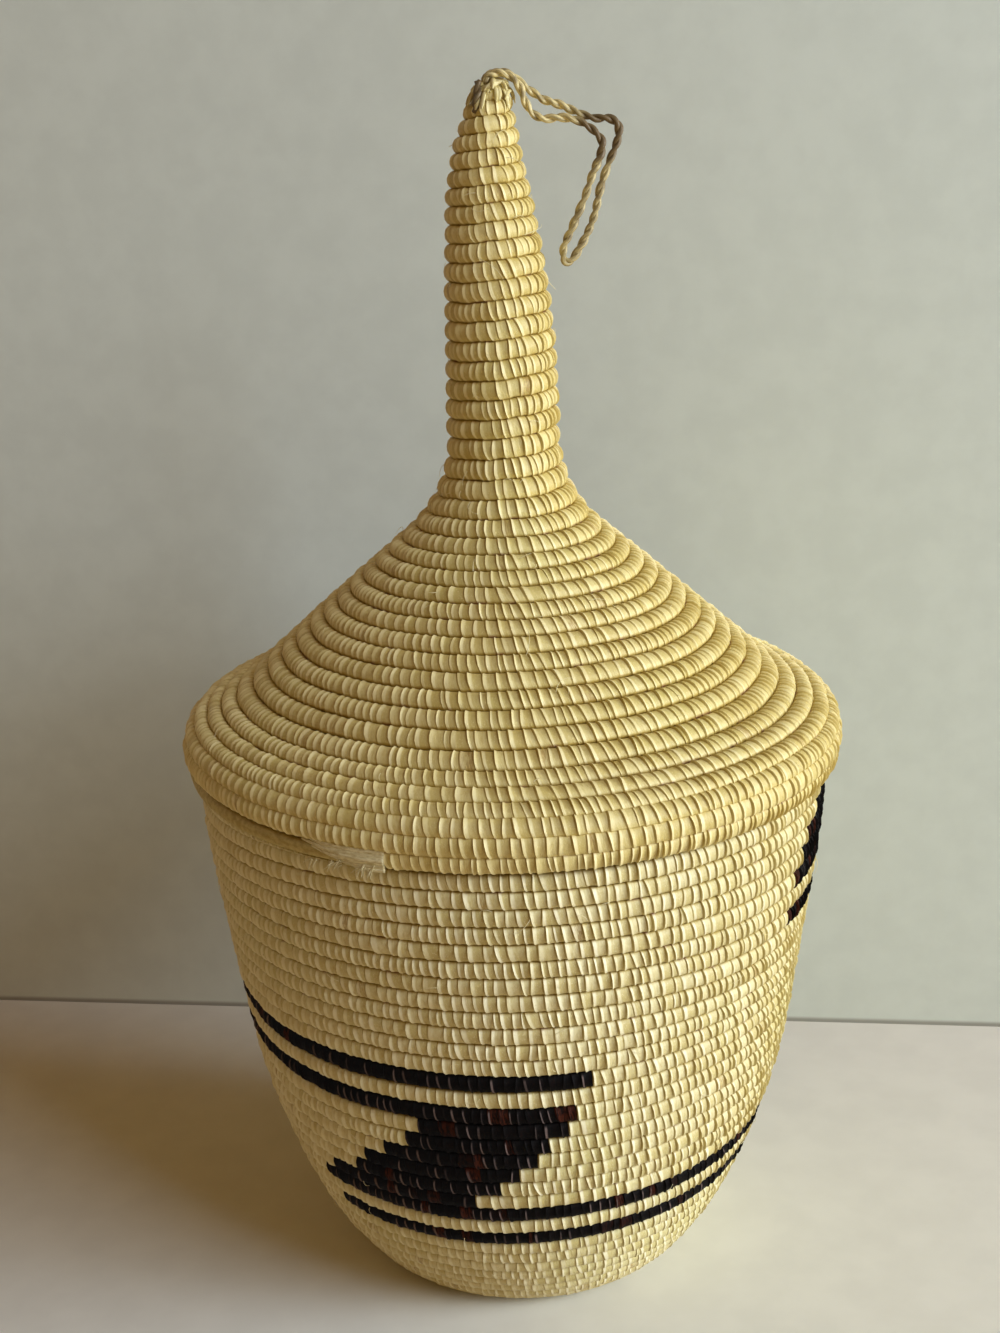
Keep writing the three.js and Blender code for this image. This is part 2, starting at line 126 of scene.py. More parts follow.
# Hanging loop: offsets from the middle of the tip, with the side in shares of half the strands' gap
TWINE_DIAMETER = 2.0
TWINE_SPACING = 2.8
TWINE_TWIST = 6.4
PLY_SHARE = 0.58
TIP_GAP = 0.3
LOOP_ROUTE = (
    (-1.8, 1, 0), (-1.5, 1, 1.2), (-0.4, 1, 2), (1.7, 1, 2.3), (4.1, 1, 1.7), (7.2, 1, -0.8), (10.9, 1, -3.5),
    (14.7, 1, -4.8), (18.7, 0.9, -6.6), (22.4, 0.9, -7.9), (25.6, 1, -8), (27.7, 1, -9.6), (27.5, 1, -12.8),
    (25.5, 1, -17.6), (23.6, 0.9, -22.8), (22.2, 0.8, -28.5), (20.3, 0.7, -33), (18.2, 0.5, -36.6),
    (16.4, 0.2, -38.9), (14.9, -0.2, -38.3), (15, -0.5, -35.4), (16.7, -0.7, -31.8), (18.3, -0.8, -28.3),
    (20, -0.9, -24.4), (21.6, -0.9, -20), (23.3, -0.9, -16.2), (23.8, -1, -13), (22, -1, -10.6),
    (18.8, -1, -8.5), (14.7, -0.9, -7.6), (11, -1, -7.8), (8.4, -1, -6.4), (6.9, -1, -3.9), (5.9, -1, -1.1),
    (4.2, -1, 1.1), (2, -1, 2.1), (-0.2, -1, 2), (-1.5, -1, 1.2), (-1.8, -1, 0),
)


# Curves and outlines

def smooth_step(x):
    """0 below 0, 1 above 1, and 3x^2 - 2x^3 between."""
    x = np.clip(x, 0, 1)
    return x * x * (3 - 2 * x)


def distances(line):
    """Distance of each point of a line from its start, along the line."""
    return np.r_[0, np.cumsum(np.linalg.norm(np.diff(line, axis=0), axis=1))]


def bezier(*points, steps=120):
    """Bezier curve through its control points, by repeated linear interpolation."""
    t = np.linspace(0, 1, steps)[:, None]
    layer = [np.array(point, float) + 0 * t for point in points]
    while len(layer) > 1:
        layer = [a + (b - a) * t for a, b in zip(layer, layer[1:])]
    return layer[0]


def smooth_line(points, steps=24):
    """Catmull-Rom curve through the points, each span a cubic from its end points and their slopes."""
    p = np.array(points, float)
    before = np.vstack([p[:1], p[:-1]])[:-1, None]
    after = np.vstack([p[1:], p[-1:]])[1:, None]
    a, b = p[:-1, None], p[1:, None]
    slope_a, slope_b = (b - before) / 2, (after - a) / 2
    t = np.linspace(0, 1, steps, endpoint=False)[None, :, None]
    spans = (
        (2 * a - 2 * b + slope_a + slope_b) * t**3
        + (3 * b - 3 * a - 2 * slope_a - slope_b) * t**2
        + slope_a * t
        + a
    )
    return np.vstack([spans.reshape(-1, p.shape[1]), p[-1:]])


class Outline:
    """Crest line of a coiled wall, as radius and height by the distance from its middle.

    The outward normal is the tangent turned a quarter: to the right of a line that rises and to
    the left of one that falls.
    """

    def __init__(self, *parts, falls=False):
        line = np.vstack(parts)
        along = distances(line)
        self.length = along[-1]
        self.even = np.linspace(0, self.length, 1601)
        self.r, self.z = (np.interp(self.even, along, column) for column in line.T)
        dr, dz = np.gradient(self.r), np.gradient(self.z)
        size = np.hypot(dr, dz) * (-1 if falls else 1)
        self.nr, self.nz = dz / size, -dr / size

    def at(self, distance):
        """Radius, height and outward normal at each distance."""
        return [np.interp(distance, self.even, v) for v in (self.r, self.z, self.nr, self.nz)]


def basket_outline():
    """Domed base, flat standing ring and flaring wall."""
    standing = BASE_RADIUS - STANDING_RING_WIDTH
    flare = RIM_RADIUS - BASE_RADIUS
    wall = [(BASE_RADIUS + out * flare, up * BASKET_HEIGHT) for out, up in WALL_SHAPE]
    return Outline(
        bezier((0, BASE_RISE), (standing / 2, BASE_RISE), (standing, 0)),
        bezier((standing, 0), (BASE_RADIUS, 0)),
        smooth_line(wall),
    )


def lid_outline():
    """Rounded tip, spire, hollow flare, cone, shoulder and tucked edge."""
    shoulder = np.array((LID_RADIUS - SHOULDER_WIDTH, SEAT_HEIGHT + SHOULDER_RISE))
    widest = np.array((LID_RADIUS, SEAT_HEIGHT + LID_EDGE_HEIGHT))
    root = np.array((SPIRE_ROOT_RADIUS, TIP_HEIGHT - SPIRE_HEIGHT))
    neck = np.array((TIP_RADIUS, TIP_HEIGHT - TIP_DROP))
    corner = root - (0, FLARE_DROP)
    down = (shoulder - corner) / np.hypot(*(shoulder - corner))
    cone_top = corner + down * FLARE_REACH
    bend = SHOULDER_WIDTH * SHOULDER_FULLNESS
    spire = root - neck
    return Outline(
        bezier((0, TIP_HEIGHT), (TIP_RADIUS * TIP_FULLNESS, TIP_HEIGHT), neck),
        bezier(neck, neck + spire * SPIRE_SWELL, (root[0], neck[1] + spire[1] * SPIRE_STRAIGHT), root),
        bezier(root, corner, cone_top),
        bezier(cone_top, shoulder),
        bezier(shoulder, shoulder + down * bend, widest + (0, bend), widest),
        bezier(widest, (LID_RADIUS, SEAT_HEIGHT + LID_EDGE_TUCK), (LID_RADIUS - LID_EDGE_TUCK, SEAT_HEIGHT)),
        falls=True,
    )


def spire_lean(z):
    """Sideways bow of the lid's axis: the sine of half a turn times the cube of the share of the
    spire's height, widest at four fifths of it."""
    rise = np.maximum(0, z - (TIP_HEIGHT - SPIRE_HEIGHT)) / SPIRE_HEIGHT
    return -SPIRE_LEAN * np.sin(np.pi * np.minimum(rise, 1) ** 3)


def upright(z):
    """No bend."""
    return 0 * z


# The coil

# Rings of points across a stitch, from its left side: how far along each is, how deep it lies, and how
# much of its stitch's own height it has. The left edge stands up over the stitch before it.
ALONG = np.array((0, 0.11, 0.40, 0.66))
SUNK = np.array((0.98, 0, 0.84, 0.9))
RAISED = np.array((0, 1, 1, 0.6))

# Uneven sewing: the amounts and rates of two waves in which the stitch width swells, how far a border
# stands off its even place in stitches, and the spread of the slants, heights and reliefs
TENSION = ((0.15, 2.3), (0.09, 9.1))
BORDER_SPREAD = 0.15
BORDER_LIMIT = 0.3
SLANT_SPREAD = 0.22
HEIGHT_SPREAD = 0.05
RELIEF = 0.95
RELIEF_SPREAD = 0.24
RELIEF_RANGE = (0.35, 1.25)

# Waves in which the rows wander: the weight of each, how many times it swings round the basket, and
# the millimetres along the wall in which it shifts by a radian. Then the sum of the weights
WANDER_WAVES = ((1, 2, 31), (1, 3, -19), (0.7, 7, 11), (0.5, 13, -7))
WANDER_TOTAL = 3.2

# Rows: the width from which one is as thick as the wall, how far each side reaches past its border,
# how much less for each millimetre that the stitch is sunk, and the least half width and thickness
FULL_ROW = 3.6
OVERLAP = 0.14
OVERLAP_LOST = 0.2
THINNEST = 0.15

# How far a row stands out of the outline, with a share of the unevenness, and how much more a stitch
# is sunk at the upper side of its row
BULGE = 0.05
BULGE_SHARE = 0.5
UPPER_SINKS = 0.3

# Near the axis: the least radius at which stitches are counted, the least at which a slant turns them,
# how thick a row may be in shares of its distance to the axis straight through the wall, the least
# share of the wall's direction that this counts with, and the least share of a full row
COUNT_RADIUS = 1
SLANT_RADIUS = 4
AXIS_SHARE = 1.9
AXIS_FACING = 0.3
LEAST_ROW = 0.02

# The last stretch of the wall, in which the rows wander less, the rows under the rim in which the sag
# fades, and the turns between which the relief of the stitches grows to its full height
CALM_EDGE = 6
SAG_FADES = 5
RELIEF_GROWS = (9, 22)


def stitch_rings(sense):
    """The rings in the order in which the coil runs, which is to the left where the sense is negative."""
    if sense > 0:
        return ALONG, SUNK, RAISED
    along = np.r_[0, (1 - ALONG)[:0:-1]]
    return along, np.r_[SUNK[0], SUNK[:0:-1]], np.r_[RAISED[0], RAISED[:0:-1]]


def section(crown):
    """Closed section of the coil, from its lower side over the outside to its upper side and back.

    A superellipse |x|^n + |y|^n = 1, with x across the row and y out of the wall, and the way round
    it from 0 to 1.
    """
    outer = np.array((-1, -0.94, -0.78, -0.45, 0, 0.45, 0.78, 0.94, 1))
    inner = np.array((0.6, -0.6))
    x = np.r_[outer, inner]
    y = (1 - np.abs(x) ** crown) ** (1 / crown) * np.r_[np.ones(len(outer)), -np.ones(len(inner))]
    way = np.r_[(outer + 1) / 4, 0.5 + (1 - inner) / 4]
    return x, y, way


class Coil:
    """A bundle wound in a spiral along an outline and wrapped with stitches.

    A place is counted in turns from the middle, and stands at the angle end + sense * 360 * (place -
    turns). The row at a place lies between the boundaries q(place) and q(place + 1), where q is the
    place itself near the middle and steps from row to row within the last part of each turn near
    the edge, so that the edge is level. Stitch borders are spread by one stitch width along the
    coil, which swells and shrinks slowly with the hand, each a little off its even place.

    The sense is 1 for a coil that runs counter-clockwise seen from above and -1 for the other way,
    and up is 1 where the outline rises and -1 where it falls. The stitch width is a table by the
    radius, the lean moves a height sideways, and the crown says how square a row is. The rows turn
    level over the last level_rows, where a step begins at the share step_from of a turn. The relief
    of the stitches is start_relief of its full height near the middle.
    """

    def __init__(
        self, outline, turns, pitches, end, sense, up, stitch_width, lean, seed, sizes, crown,
        thickness=None, step_from=0.82, level_rows=6, start=0.0, start_relief=1.0, sag=None,
    ):
        self.outline, self.turns, self.end, self.sense, self.up = outline, turns, end, sense, up
        self.start_relief, self.sag = start_relief, sag
        self.lean, self.level_rows, self.step_from, self.sizes = lean, level_rows, step_from, sizes
        self.thickness = thickness or sizes.coil_thickness / MM
        self.crown = crown
        random = np.random.default_rng(seed)
        self.waves = random.uniform(0, 2 * np.pi, (2, 4))
        self.rows, self.depth = self.row_depths(pitches)

        table = np.linspace(start, turns, turns * 400)
        lower, upper = self.borders(table)
        radius = np.maximum(outline.at((lower + upper) / 2)[0], COUNT_RADIUS)
        width = np.interp(radius, *np.array(stitch_width, float).T)
        waves = zip(TENSION, self.waves[:, 0])
        swell = (amount * np.sin(rate * table + shift) for (amount, rate), shift in waves)
        counted = 2 * np.pi * radius / width * sum(swell, 1)
        number = np.r_[0, np.cumsum((counted[1:] + counted[:-1]) / 2 * np.diff(table))]
        self.count = int(number[-1])
        even = np.arange(self.count + 1) * number[-1] / self.count
        off = random.normal(0, BORDER_SPREAD, self.count - 1)
        even[1:-1] += np.clip(off, -BORDER_LIMIT, BORDER_LIMIT)
        self.places = np.interp(even, number, table)
        self.middles = (self.places[1:] + self.places[:-1]) / 2
        self.slants = sizes.stitch_slant / MM + random.normal(0, SLANT_SPREAD, self.count + 1)
        self.heights = random.normal(0, HEIGHT_SPREAD, self.count)
        self.reliefs = np.clip(random.normal(RELIEF, RELIEF_SPREAD, self.count), *RELIEF_RANGE)

    def row_depths(self, pitches):
        """Turns from the middle, and the distance along the outline at each: the sum of the pitches,
        stretched to the outline's length."""
        rows = np.linspace(0, self.turns, self.turns * 16 + 1)
        pitch = np.interp(rows, *np.array(pitches, float).T)
        depth = np.r_[0, np.cumsum((pitch[1:] + pitch[:-1]) / 2)]
        return rows, depth * self.outline.length / depth[-1]

    def boundary(self, place):
        """q(place), mapped to the distance along the outline."""
        place = np.clip(place, 0, self.turns)
        row = np.minimum(np.floor(place), self.turns - 1)
        part = place - row
        level = smooth_step((place - (self.turns - self.level_rows)) / self.level_rows)
        stepped = smooth_step((part - self.step_from) / (1 - self.step_from))
        return np.interp(row + (1 - level) * part + level * stepped, self.rows, self.depth)

    def borders(self, place):
        """Distances of the two sides of the row at a place."""
        return self.boundary(place), self.boundary(place + 1)

    def wobble(self, angle, distance, which):
        """Sum of slow waves round the basket and along its wall, from -1 to 1: uneven hand work."""
        waves = zip(WANDER_WAVES, self.waves[which])
        return sum(
            weight * np.sin(swings * angle + distance / shifting + shift)
            for (weight, swings, shifting), shift in waves
        ) / WANDER_TOTAL

    def sagging(self, angle, place):
        """How far the rows hang down round one place on the side, in millimetres along the wall: a
        bell curve round the basket and over the rows, with none of it at the rim."""
        sag = self.sag
        away = (np.remainder(np.degrees(angle) - FRONT - sag["side"] + 180, 360) - 180) / sag["reach"]
        rim = smooth_step((self.turns - place) / SAG_FADES)
        return sag["depth"] * rim * np.exp(-(away**2) - ((place - sag["row"]) / sag["rows"]) ** 2)

    def wandering(self, angle, place):
        """Distances of a row's two sides with the wobble, which fades at the edge, and the sag."""
        uneven = self.sizes.unevenness / MM
        lower, upper = (
            v + uneven * self.wobble(angle, v, 0) * smooth_step((self.outline.length - v) / CALM_EDGE)
            for v in self.borders(place)
        )
        if self.sag:
            lower, upper = lower - self.sagging(angle, place), upper - self.sagging(angle, place + 1)
        return lower, upper

    def points(self):
        """All rings of points, in millimetres, as an array of rings, section points and axes.

        The section at a ring lies with its middle half the wall's thickness under the outline. It
        reaches from border to border as they are at the outline or at the depth of its middle,
        whichever is wider, so that the rows meet. The slant turns its upper side round the axis one
        way and its lower side the other, and the hook bends the stitch's foot. Near the axis a row
        is thin enough to stay on its own side of it.
        """
        along, sunk, raised = stitch_rings(self.sense)
        first, last = self.places[:-1, None], self.places[1:, None]
        place = np.r_[(first + (last - first) * along).ravel(), self.places[-1]]
        slant = self.slants[:-1, None] + np.diff(self.slants)[:, None] * along
        slant = np.r_[slant.ravel(), self.slants[-1]]
        height = np.r_[(self.heights[:, None] * raised).ravel(), 0]
        sunk = np.r_[(1 - (1 - sunk) * self.reliefs[:, None]).ravel(), sunk[0]] * self.sizes.stitch_depth / MM
        sunk = sunk * np.interp(place, RELIEF_GROWS, (self.start_relief, 1))

        angle = np.radians(self.end) + self.sense * 2 * np.pi * (place - self.turns)
        calm = smooth_step((self.outline.length - self.borders(place)[1]) / CALM_EDGE)
        lower, upper = self.wandering(angle, place)
        middle = (lower + upper) / 2
        r0, z0, nr0, nz0 = self.outline.at(lower)
        r1, z1, nr1, nz1 = self.outline.at(upper)
        r, z, nr, nz = self.outline.at(middle)
        full = np.minimum(1, (upper - lower) / FULL_ROW)
        thick = self.thickness * np.sqrt(np.maximum(full, LEAST_ROW))
        thick = np.minimum(thick, AXIS_SHARE * r / np.maximum(np.abs(nr), AXIS_FACING))
        bulge = BULGE_SHARE * self.sizes.unevenness / MM * self.wobble(angle, middle, 1) + BULGE
        out = bulge * calm - thick / 2
        centre_r, centre_z = r + nr * out, z + nz * out
        width = np.hypot(r1 - r0, z1 - z0)
        tr, tz = (r1 - r0) / np.maximum(width, 1e-6), (z1 - z0) / np.maximum(width, 1e-6)
        width = np.maximum(width, np.hypot(r1 - r0 + (nr1 - nr0) * out, z1 - z0 + (nz1 - nz0) * out))

        x, y, _ = section(self.crown)
        rise = x * self.up
        half_x = np.maximum(width / 2 + OVERLAP - OVERLAP_LOST * sunk + height, THINNEST)[:, None] * x
        inward = (sunk * full)[:, None] * (1 + UPPER_SINKS * rise)
        half_y = np.maximum((thick / 2 + height * full)[:, None] - inward, THINNEST) * y
        radius = centre_r[:, None] + tr[:, None] * half_x + nr[:, None] * half_y
        level = centre_z[:, None] + tz[:, None] * half_x + nz[:, None] * half_y
        level = np.maximum(level, 0)
        hook = self.sizes.stitch_hook / MM * np.maximum(-rise, 0) ** 3
        around = angle[:, None] - (slant[:, None] * rise - hook) / np.maximum(radius, SLANT_RADIUS)
        return np.stack(
            (radius * np.cos(around) + self.lean(level), radius * np.sin(around), level), axis=-1
        )


# Meshes

def new_object(name, data):
    """An object for the data, linked to the scene."""
    made = bpy.data.objects.new(name, data)
    bpy.context.scene.collection.objects.link(made)
    return made


def new_piece(name, points, faces, uvs, material, body, replaced=()):
    """Puts whole arrays into a mesh: points, quads or polygons by sides, and a UV for each corner."""
    corners = np.concatenate([group.ravel() for group in faces])
    sides = np.concatenate([np.full(len(group), group.shape[1]) for group in faces])
    mesh = bpy.data.meshes.new(name)
    mesh.vertices.add(len(points))
    mesh.vertices.foreach_set("co", (points * MM).astype(np.float32).ravel())
    mesh.loops.add(len(corners))
    mesh.loops.foreach_set("vertex_index", corners.astype(np.int32))
    mesh.polygons.add(len(sides))
    mesh.polygons.foreach_set("loop_start", np.r_[0, np.cumsum(sides)[:-1]].astype(np.int32))
    mesh.polygons.foreach_set("use_smooth", np.ones(len(sides), bool))
    mesh.update(calc_edges=True)
    mesh.validate()
    layer = mesh.uv_layers.new(name="strand")
    layer.data.foreach_set("uv", np.concatenate(uvs).astype(np.float32).ravel())
    mesh.materials.append(material)
    piece = new_object(name, mesh)
    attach(piece, body)
    if replaced:
        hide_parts(*replaced)
    return piece


def coil_piece(name, coil, points, chosen, material, body, replaced=()):
    """The chosen stitches of a coil as closed tubes, one for each unbroken run of stitches. The UV is
    the stitch's number plus the share along it, and the way round the section."""
    sides, rings = points.shape[1], len(ALONG)
    stitches = np.flatnonzero(chosen)
    starts = stitches[np.r_[True, np.diff(stitches) > 1]]
    ends = stitches[np.r_[np.diff(stitches) > 1, True]] + 1
    ring = (stitches[:, None] * rings + np.arange(rings)).ravel()
    used = np.union1d(ring, ends * rings)
    number = np.zeros(len(points), int)
    number[used] = np.arange(len(used))

    a = np.arange(sides)
    b = np.roll(a, -1)
    this, following = number[ring][:, None] * sides, number[ring + 1][:, None] * sides
    quads = np.stack((this + a, following + a, following + b, this + b), axis=-1)
    caps = [number[edge * rings][:, None] * sides + order for edge, order in ((starts, a), (ends, a[::-1]))]

    way = section(coil.crown)[2]
    share = np.r_[stitch_rings(coil.sense)[0], 1]
    u0 = (stitches[:, None] + share[:-1]).ravel()[:, None] + 0 * way
    u1 = (stitches[:, None] + share[1:]).ravel()[:, None] + 0 * way
    v0, v1 = way + 0 * u0, np.r_[way[1:], 1] + 0 * u0
    uvs = np.stack((np.stack((u0, u1, u1, u0), -1), np.stack((v0, v0, v1, v1), -1)), -1)
    cap_uv = np.stack((np.repeat(starts, sides), np.tile(way, len(starts))), -1)
    faces = [quads.reshape(-1, 4), *caps]
    if coil.sense * coil.up < 0:
        faces = [group[:, ::-1] for group in faces]
        uvs = uvs[:, :, ::-1]
    uvs = [uvs.reshape(-1, 2), cap_uv, cap_uv]
    piece = new_piece(name, points[used].reshape(-1, 3), faces, uvs, material, body, replaced)
    sharpen_edges(piece.data, used, sides, coil.sense)
    return piece


def sharpen_edges(mesh, used, sides, sense):
    """Makes the edges round the coil sharp at each stitch's border and at its raised edge."""
    pairs = np.empty(len(mesh.edges) * 2, np.int32)
    mesh.edges.foreach_get("vertices", pairs)
    ring = pairs.reshape(-1, 2) // sides
    kind = used[ring[:, 0]] % len(ALONG)
    crest = int(np.argmin(stitch_rings(sense)[1]))
    sharp = (ring[:, 0] == ring[:, 1]) & ((kind == 0) | (kind == crest))
    mesh.edges.foreach_set("use_edge_sharp", sharp)


# Dyed pattern

# Runs of dyed stitches: the row, counted down from the rim at the front, and where the run begins and
# ends, in degrees from the front. The rows of a block step to the left as they go down.
FRONT_BLOCK = (
    (16, -20.5, 8.5), (17, -23.5, 5), (18, -29.5, 2.5), (19, -34.5, -2), (20, -38.5, -5.5), (21, -45.5, -12),
)
RIGHT_BLOCK = ((1, 69.5, 107.5), (2, 67.5, 104), (3, 64, 100.3), (4, 62, 96.7))
BACK_BLOCK = tuple((row, 200.6 - 5.1 * (row - 8), 228.5 - 3.6 * (row - 8)) for row in range(8, 14))
DYED_PATTERN = {
    "dyed_runs_upper": (*RIGHT_BLOCK, (5, 58, 234)),
    "dyed_runs_middle": ((7, 57.5, 230.6), *BACK_BLOCK, (14, 170, 373)),
    "dyed_runs_lower": ((15, -182, 9.5), *FRONT_BLOCK, (22, -51, 200)),
    "dyed_run_lowest": ((24, -48.5, 204),),
}


def dyed_stitches(coil, runs):
    """Marks the stitches whose middle lies in one of the runs."""
    marked = np.zeros(coil.count, bool)
    for row, start, end in runs:
        front = coil.turns - row + (FRONT - coil.end) / 360
        marked |= (coil.middles > front + start / 360) & (coil.middles < front + end / 360)
    return marked


# Materials

# Heights on the basket between which the painted shade in the lines between its stitches, and in the grooves
# between its rows, grows to full strength: there is less painted shade at the foot
LINE_SHADE_GROWS = (8, 38)
GROOVE_SHADE_GROWS = (5, 22)

# Dark knotty bend of the twine, from the middle of the tip, with the distances from it at which the
# dark begins and is full, and the heights between which the hanging strands darken
TWINE_BEND = (24.5, 0, -11)
BEND_DARKENS = (8.5, 5)
STRANDS_DARKEN = (-12, -20)

# Line of shade at the foot of the wall
WALL_FOOT = (2.2, 0.6)
WALL_FOOT_COLOUR = (0.12, 0.09, 0.06)


class Nodes:
    """Short way to lay out the nodes of a material or a world."""

    def __init__(self, owner):
        owner.use_nodes = True
        self.owner, self.tree = owner, owner.node_tree

    def set(self, socket, value):
        """Gives a socket the output of another node, or a plain value."""
        if isinstance(value, bpy.types.NodeSocket):
            self.tree.links.new(value, socket)
        else:
            socket.default_value = value

    def add(self, kind, **settings):
        """A new node, with its sockets and its other settings given by name."""
        node = self.tree.nodes.new(kind)
        for key, value in settings.items():
            if key in node.inputs:
                self.set(node.inputs[key], value)
            else:
                setattr(node, key, value)
        return node

    def fed(self, kind, *values, **settings):
        """First output of a new node, with its first sockets given in order."""
        node = self.add(kind, **settings)
        for socket, value in zip(node.inputs, values):
            self.set(socket, value)
        return node.outputs[0]

    def math(self, operation, *values):
        """Result of a Math node on the values."""
        return self.fed("ShaderNodeMath", *values, operation=operation)

    def times(self, first, second):
        return self.math("MULTIPLY", first, second)

    def vector(self, x, y, z=0.0):
        """Vector of three values."""
        return self.fed("ShaderNodeCombineXYZ", x, y, z)

    def scaled(self, *parts):
        """Vector of up to three values, each times its own factor."""
        return self.vector(*(self.times(value, factor) for value, factor in parts))

    def split(self, vector):
        """The three values of a vector."""
        return self.add("ShaderNodeSeparateXYZ", Vector=vector).outputs

    def strand(self):
        """The two values of the strand UV."""
        return self.split(self.add("ShaderNodeUVMap", uv_map="strand").outputs[0])[:2]

    def place(self):
        """The place on the object, in metres."""
        return self.add("ShaderNodeTexCoord").outputs["Object"]

    def ramp(self, value, low, high, start=0.0, end=1.0):
        """Smooth change from start to end as value goes from low to high."""
        given = {"Value": value, "From Min": low, "From Max": high, "To Min": start, "To Max": end}
        return self.add("ShaderNodeMapRange", interpolation_type="SMOOTHSTEP", **given).outputs["Result"]

    def length_ramp(self, value, lengths, start, end):
        """Smooth change from start to end between two lengths in millimetres."""
        low, high = lengths
        return self.ramp(value, low * MM, high * MM, start, end)

    def mix(self, factor, first, second, blend="MIX"):
        """Mix of two colours."""
        node = self.tree.nodes.new("ShaderNodeMix")
        node.data_type, node.blend_type = "RGBA", blend
        self.set(node.inputs[0], factor)
        self.set(node.inputs[6], first)
        self.set(node.inputs[7], second)
        return node.outputs[2]

    def cover(self, base, over, strength):
        """The base colour with another laid over it at a strength from 0 to 1."""
        return self.mix(strength, base, colour(over))

    def blend(self, factor, first, second):
        """Mix of two shaders."""
        return self.fed("ShaderNodeMixShader", factor, first, second)

    def noise(self, vector, scale, detail=3.0, roughness=0.55):
        """Smooth noise from 0 to 1 at a place."""
        given = {"Vector": vector, "Scale": scale, "Detail": detail, "Roughness": roughness}
        return self.add("ShaderNodeTexNoise", **given).outputs["Fac"]

    def white(self, value, seed):
        """A random number for each whole value."""
        place = self.vector(value, seed)
        return self.add("ShaderNodeTexWhiteNoise", noise_dimensions="2D", Vector=place).outputs["Value"]

    def bump(self, height, strength, distance):
        """Normal of a surface with a fine relief, whose distance is in metres."""
        given = {"Height": height, "Strength": strength, "Distance": distance}
        return self.add("ShaderNodeBump", **given).outputs[0]

    def seen(self):
        """1 for the camera's rays, reflections and what is seen through glass, and 0 for the light."""
        ray = self.add("ShaderNodeLightPath").outputs
        reflected = self.math("MAXIMUM", ray["Is Glossy Ray"], ray["Is Transmission Ray"])
        return self.math("MAXIMUM", ray["Is Camera Ray"], reflected)

    def shade(self, sockets):
        """Sets sockets of the surface shader by name."""
        shader = self.tree.nodes["Principled BSDF"]
        for key, value in sockets.items():
            self.set(shader.inputs[key], value)
        return shader.outputs[0]


def new_material(name):
    """Nodes of a new material."""
    return Nodes(bpy.data.materials.new(name))


def colour(value):
    """A linear colour with full alpha, from a property's own linear values."""
    return (*value, 1.0)


def strand_coordinates(nodes, mirrored=False):
    """Stitch number, place across the stitch from its left side, way round the row's section, place
    across the row from -1 where the way begins to 1, and its distance from the row's middle."""
    along, way = nodes.strand()
    stitch, across = nodes.math("FLOOR", along), nodes.math("FRACT", along)
    if mirrored:
        across = nodes.math("SUBTRACT", 1.0, across)
    level = nodes.math("SUBTRACT", nodes.times(way, 4.0), 1.0)
    return stitch, across, way, level, nodes.math("ABSOLUTE", level)


def fibre_noises(nodes, stitch, across, way):
    """Long fibres along a strand, and finer ones that break its shine."""
    long = nodes.scaled((across, 7.0), (way, 5.0), (stitch, 3.7))
    short = nodes.scaled((across, 16.0), (way, 22.0), (stitch, 5.3))
    return nodes.noise(long, 1.0, 4.0, 0.6), nodes.noise(short, 1.0, 3.0, 0.65)


def fibre_relief(nodes, fibres, glints, smooth, rough):
    """Shine and fine relief that fibres give a strand, as sockets of the shader."""
    height = nodes.math("ADD", fibres, nodes.times(glints, 0.6))
    return {
        "Roughness": nodes.ramp(glints, 0.3, 0.7, smooth, rough),
        "Normal": nodes.bump(height, 0.5, 0.00022),
    }


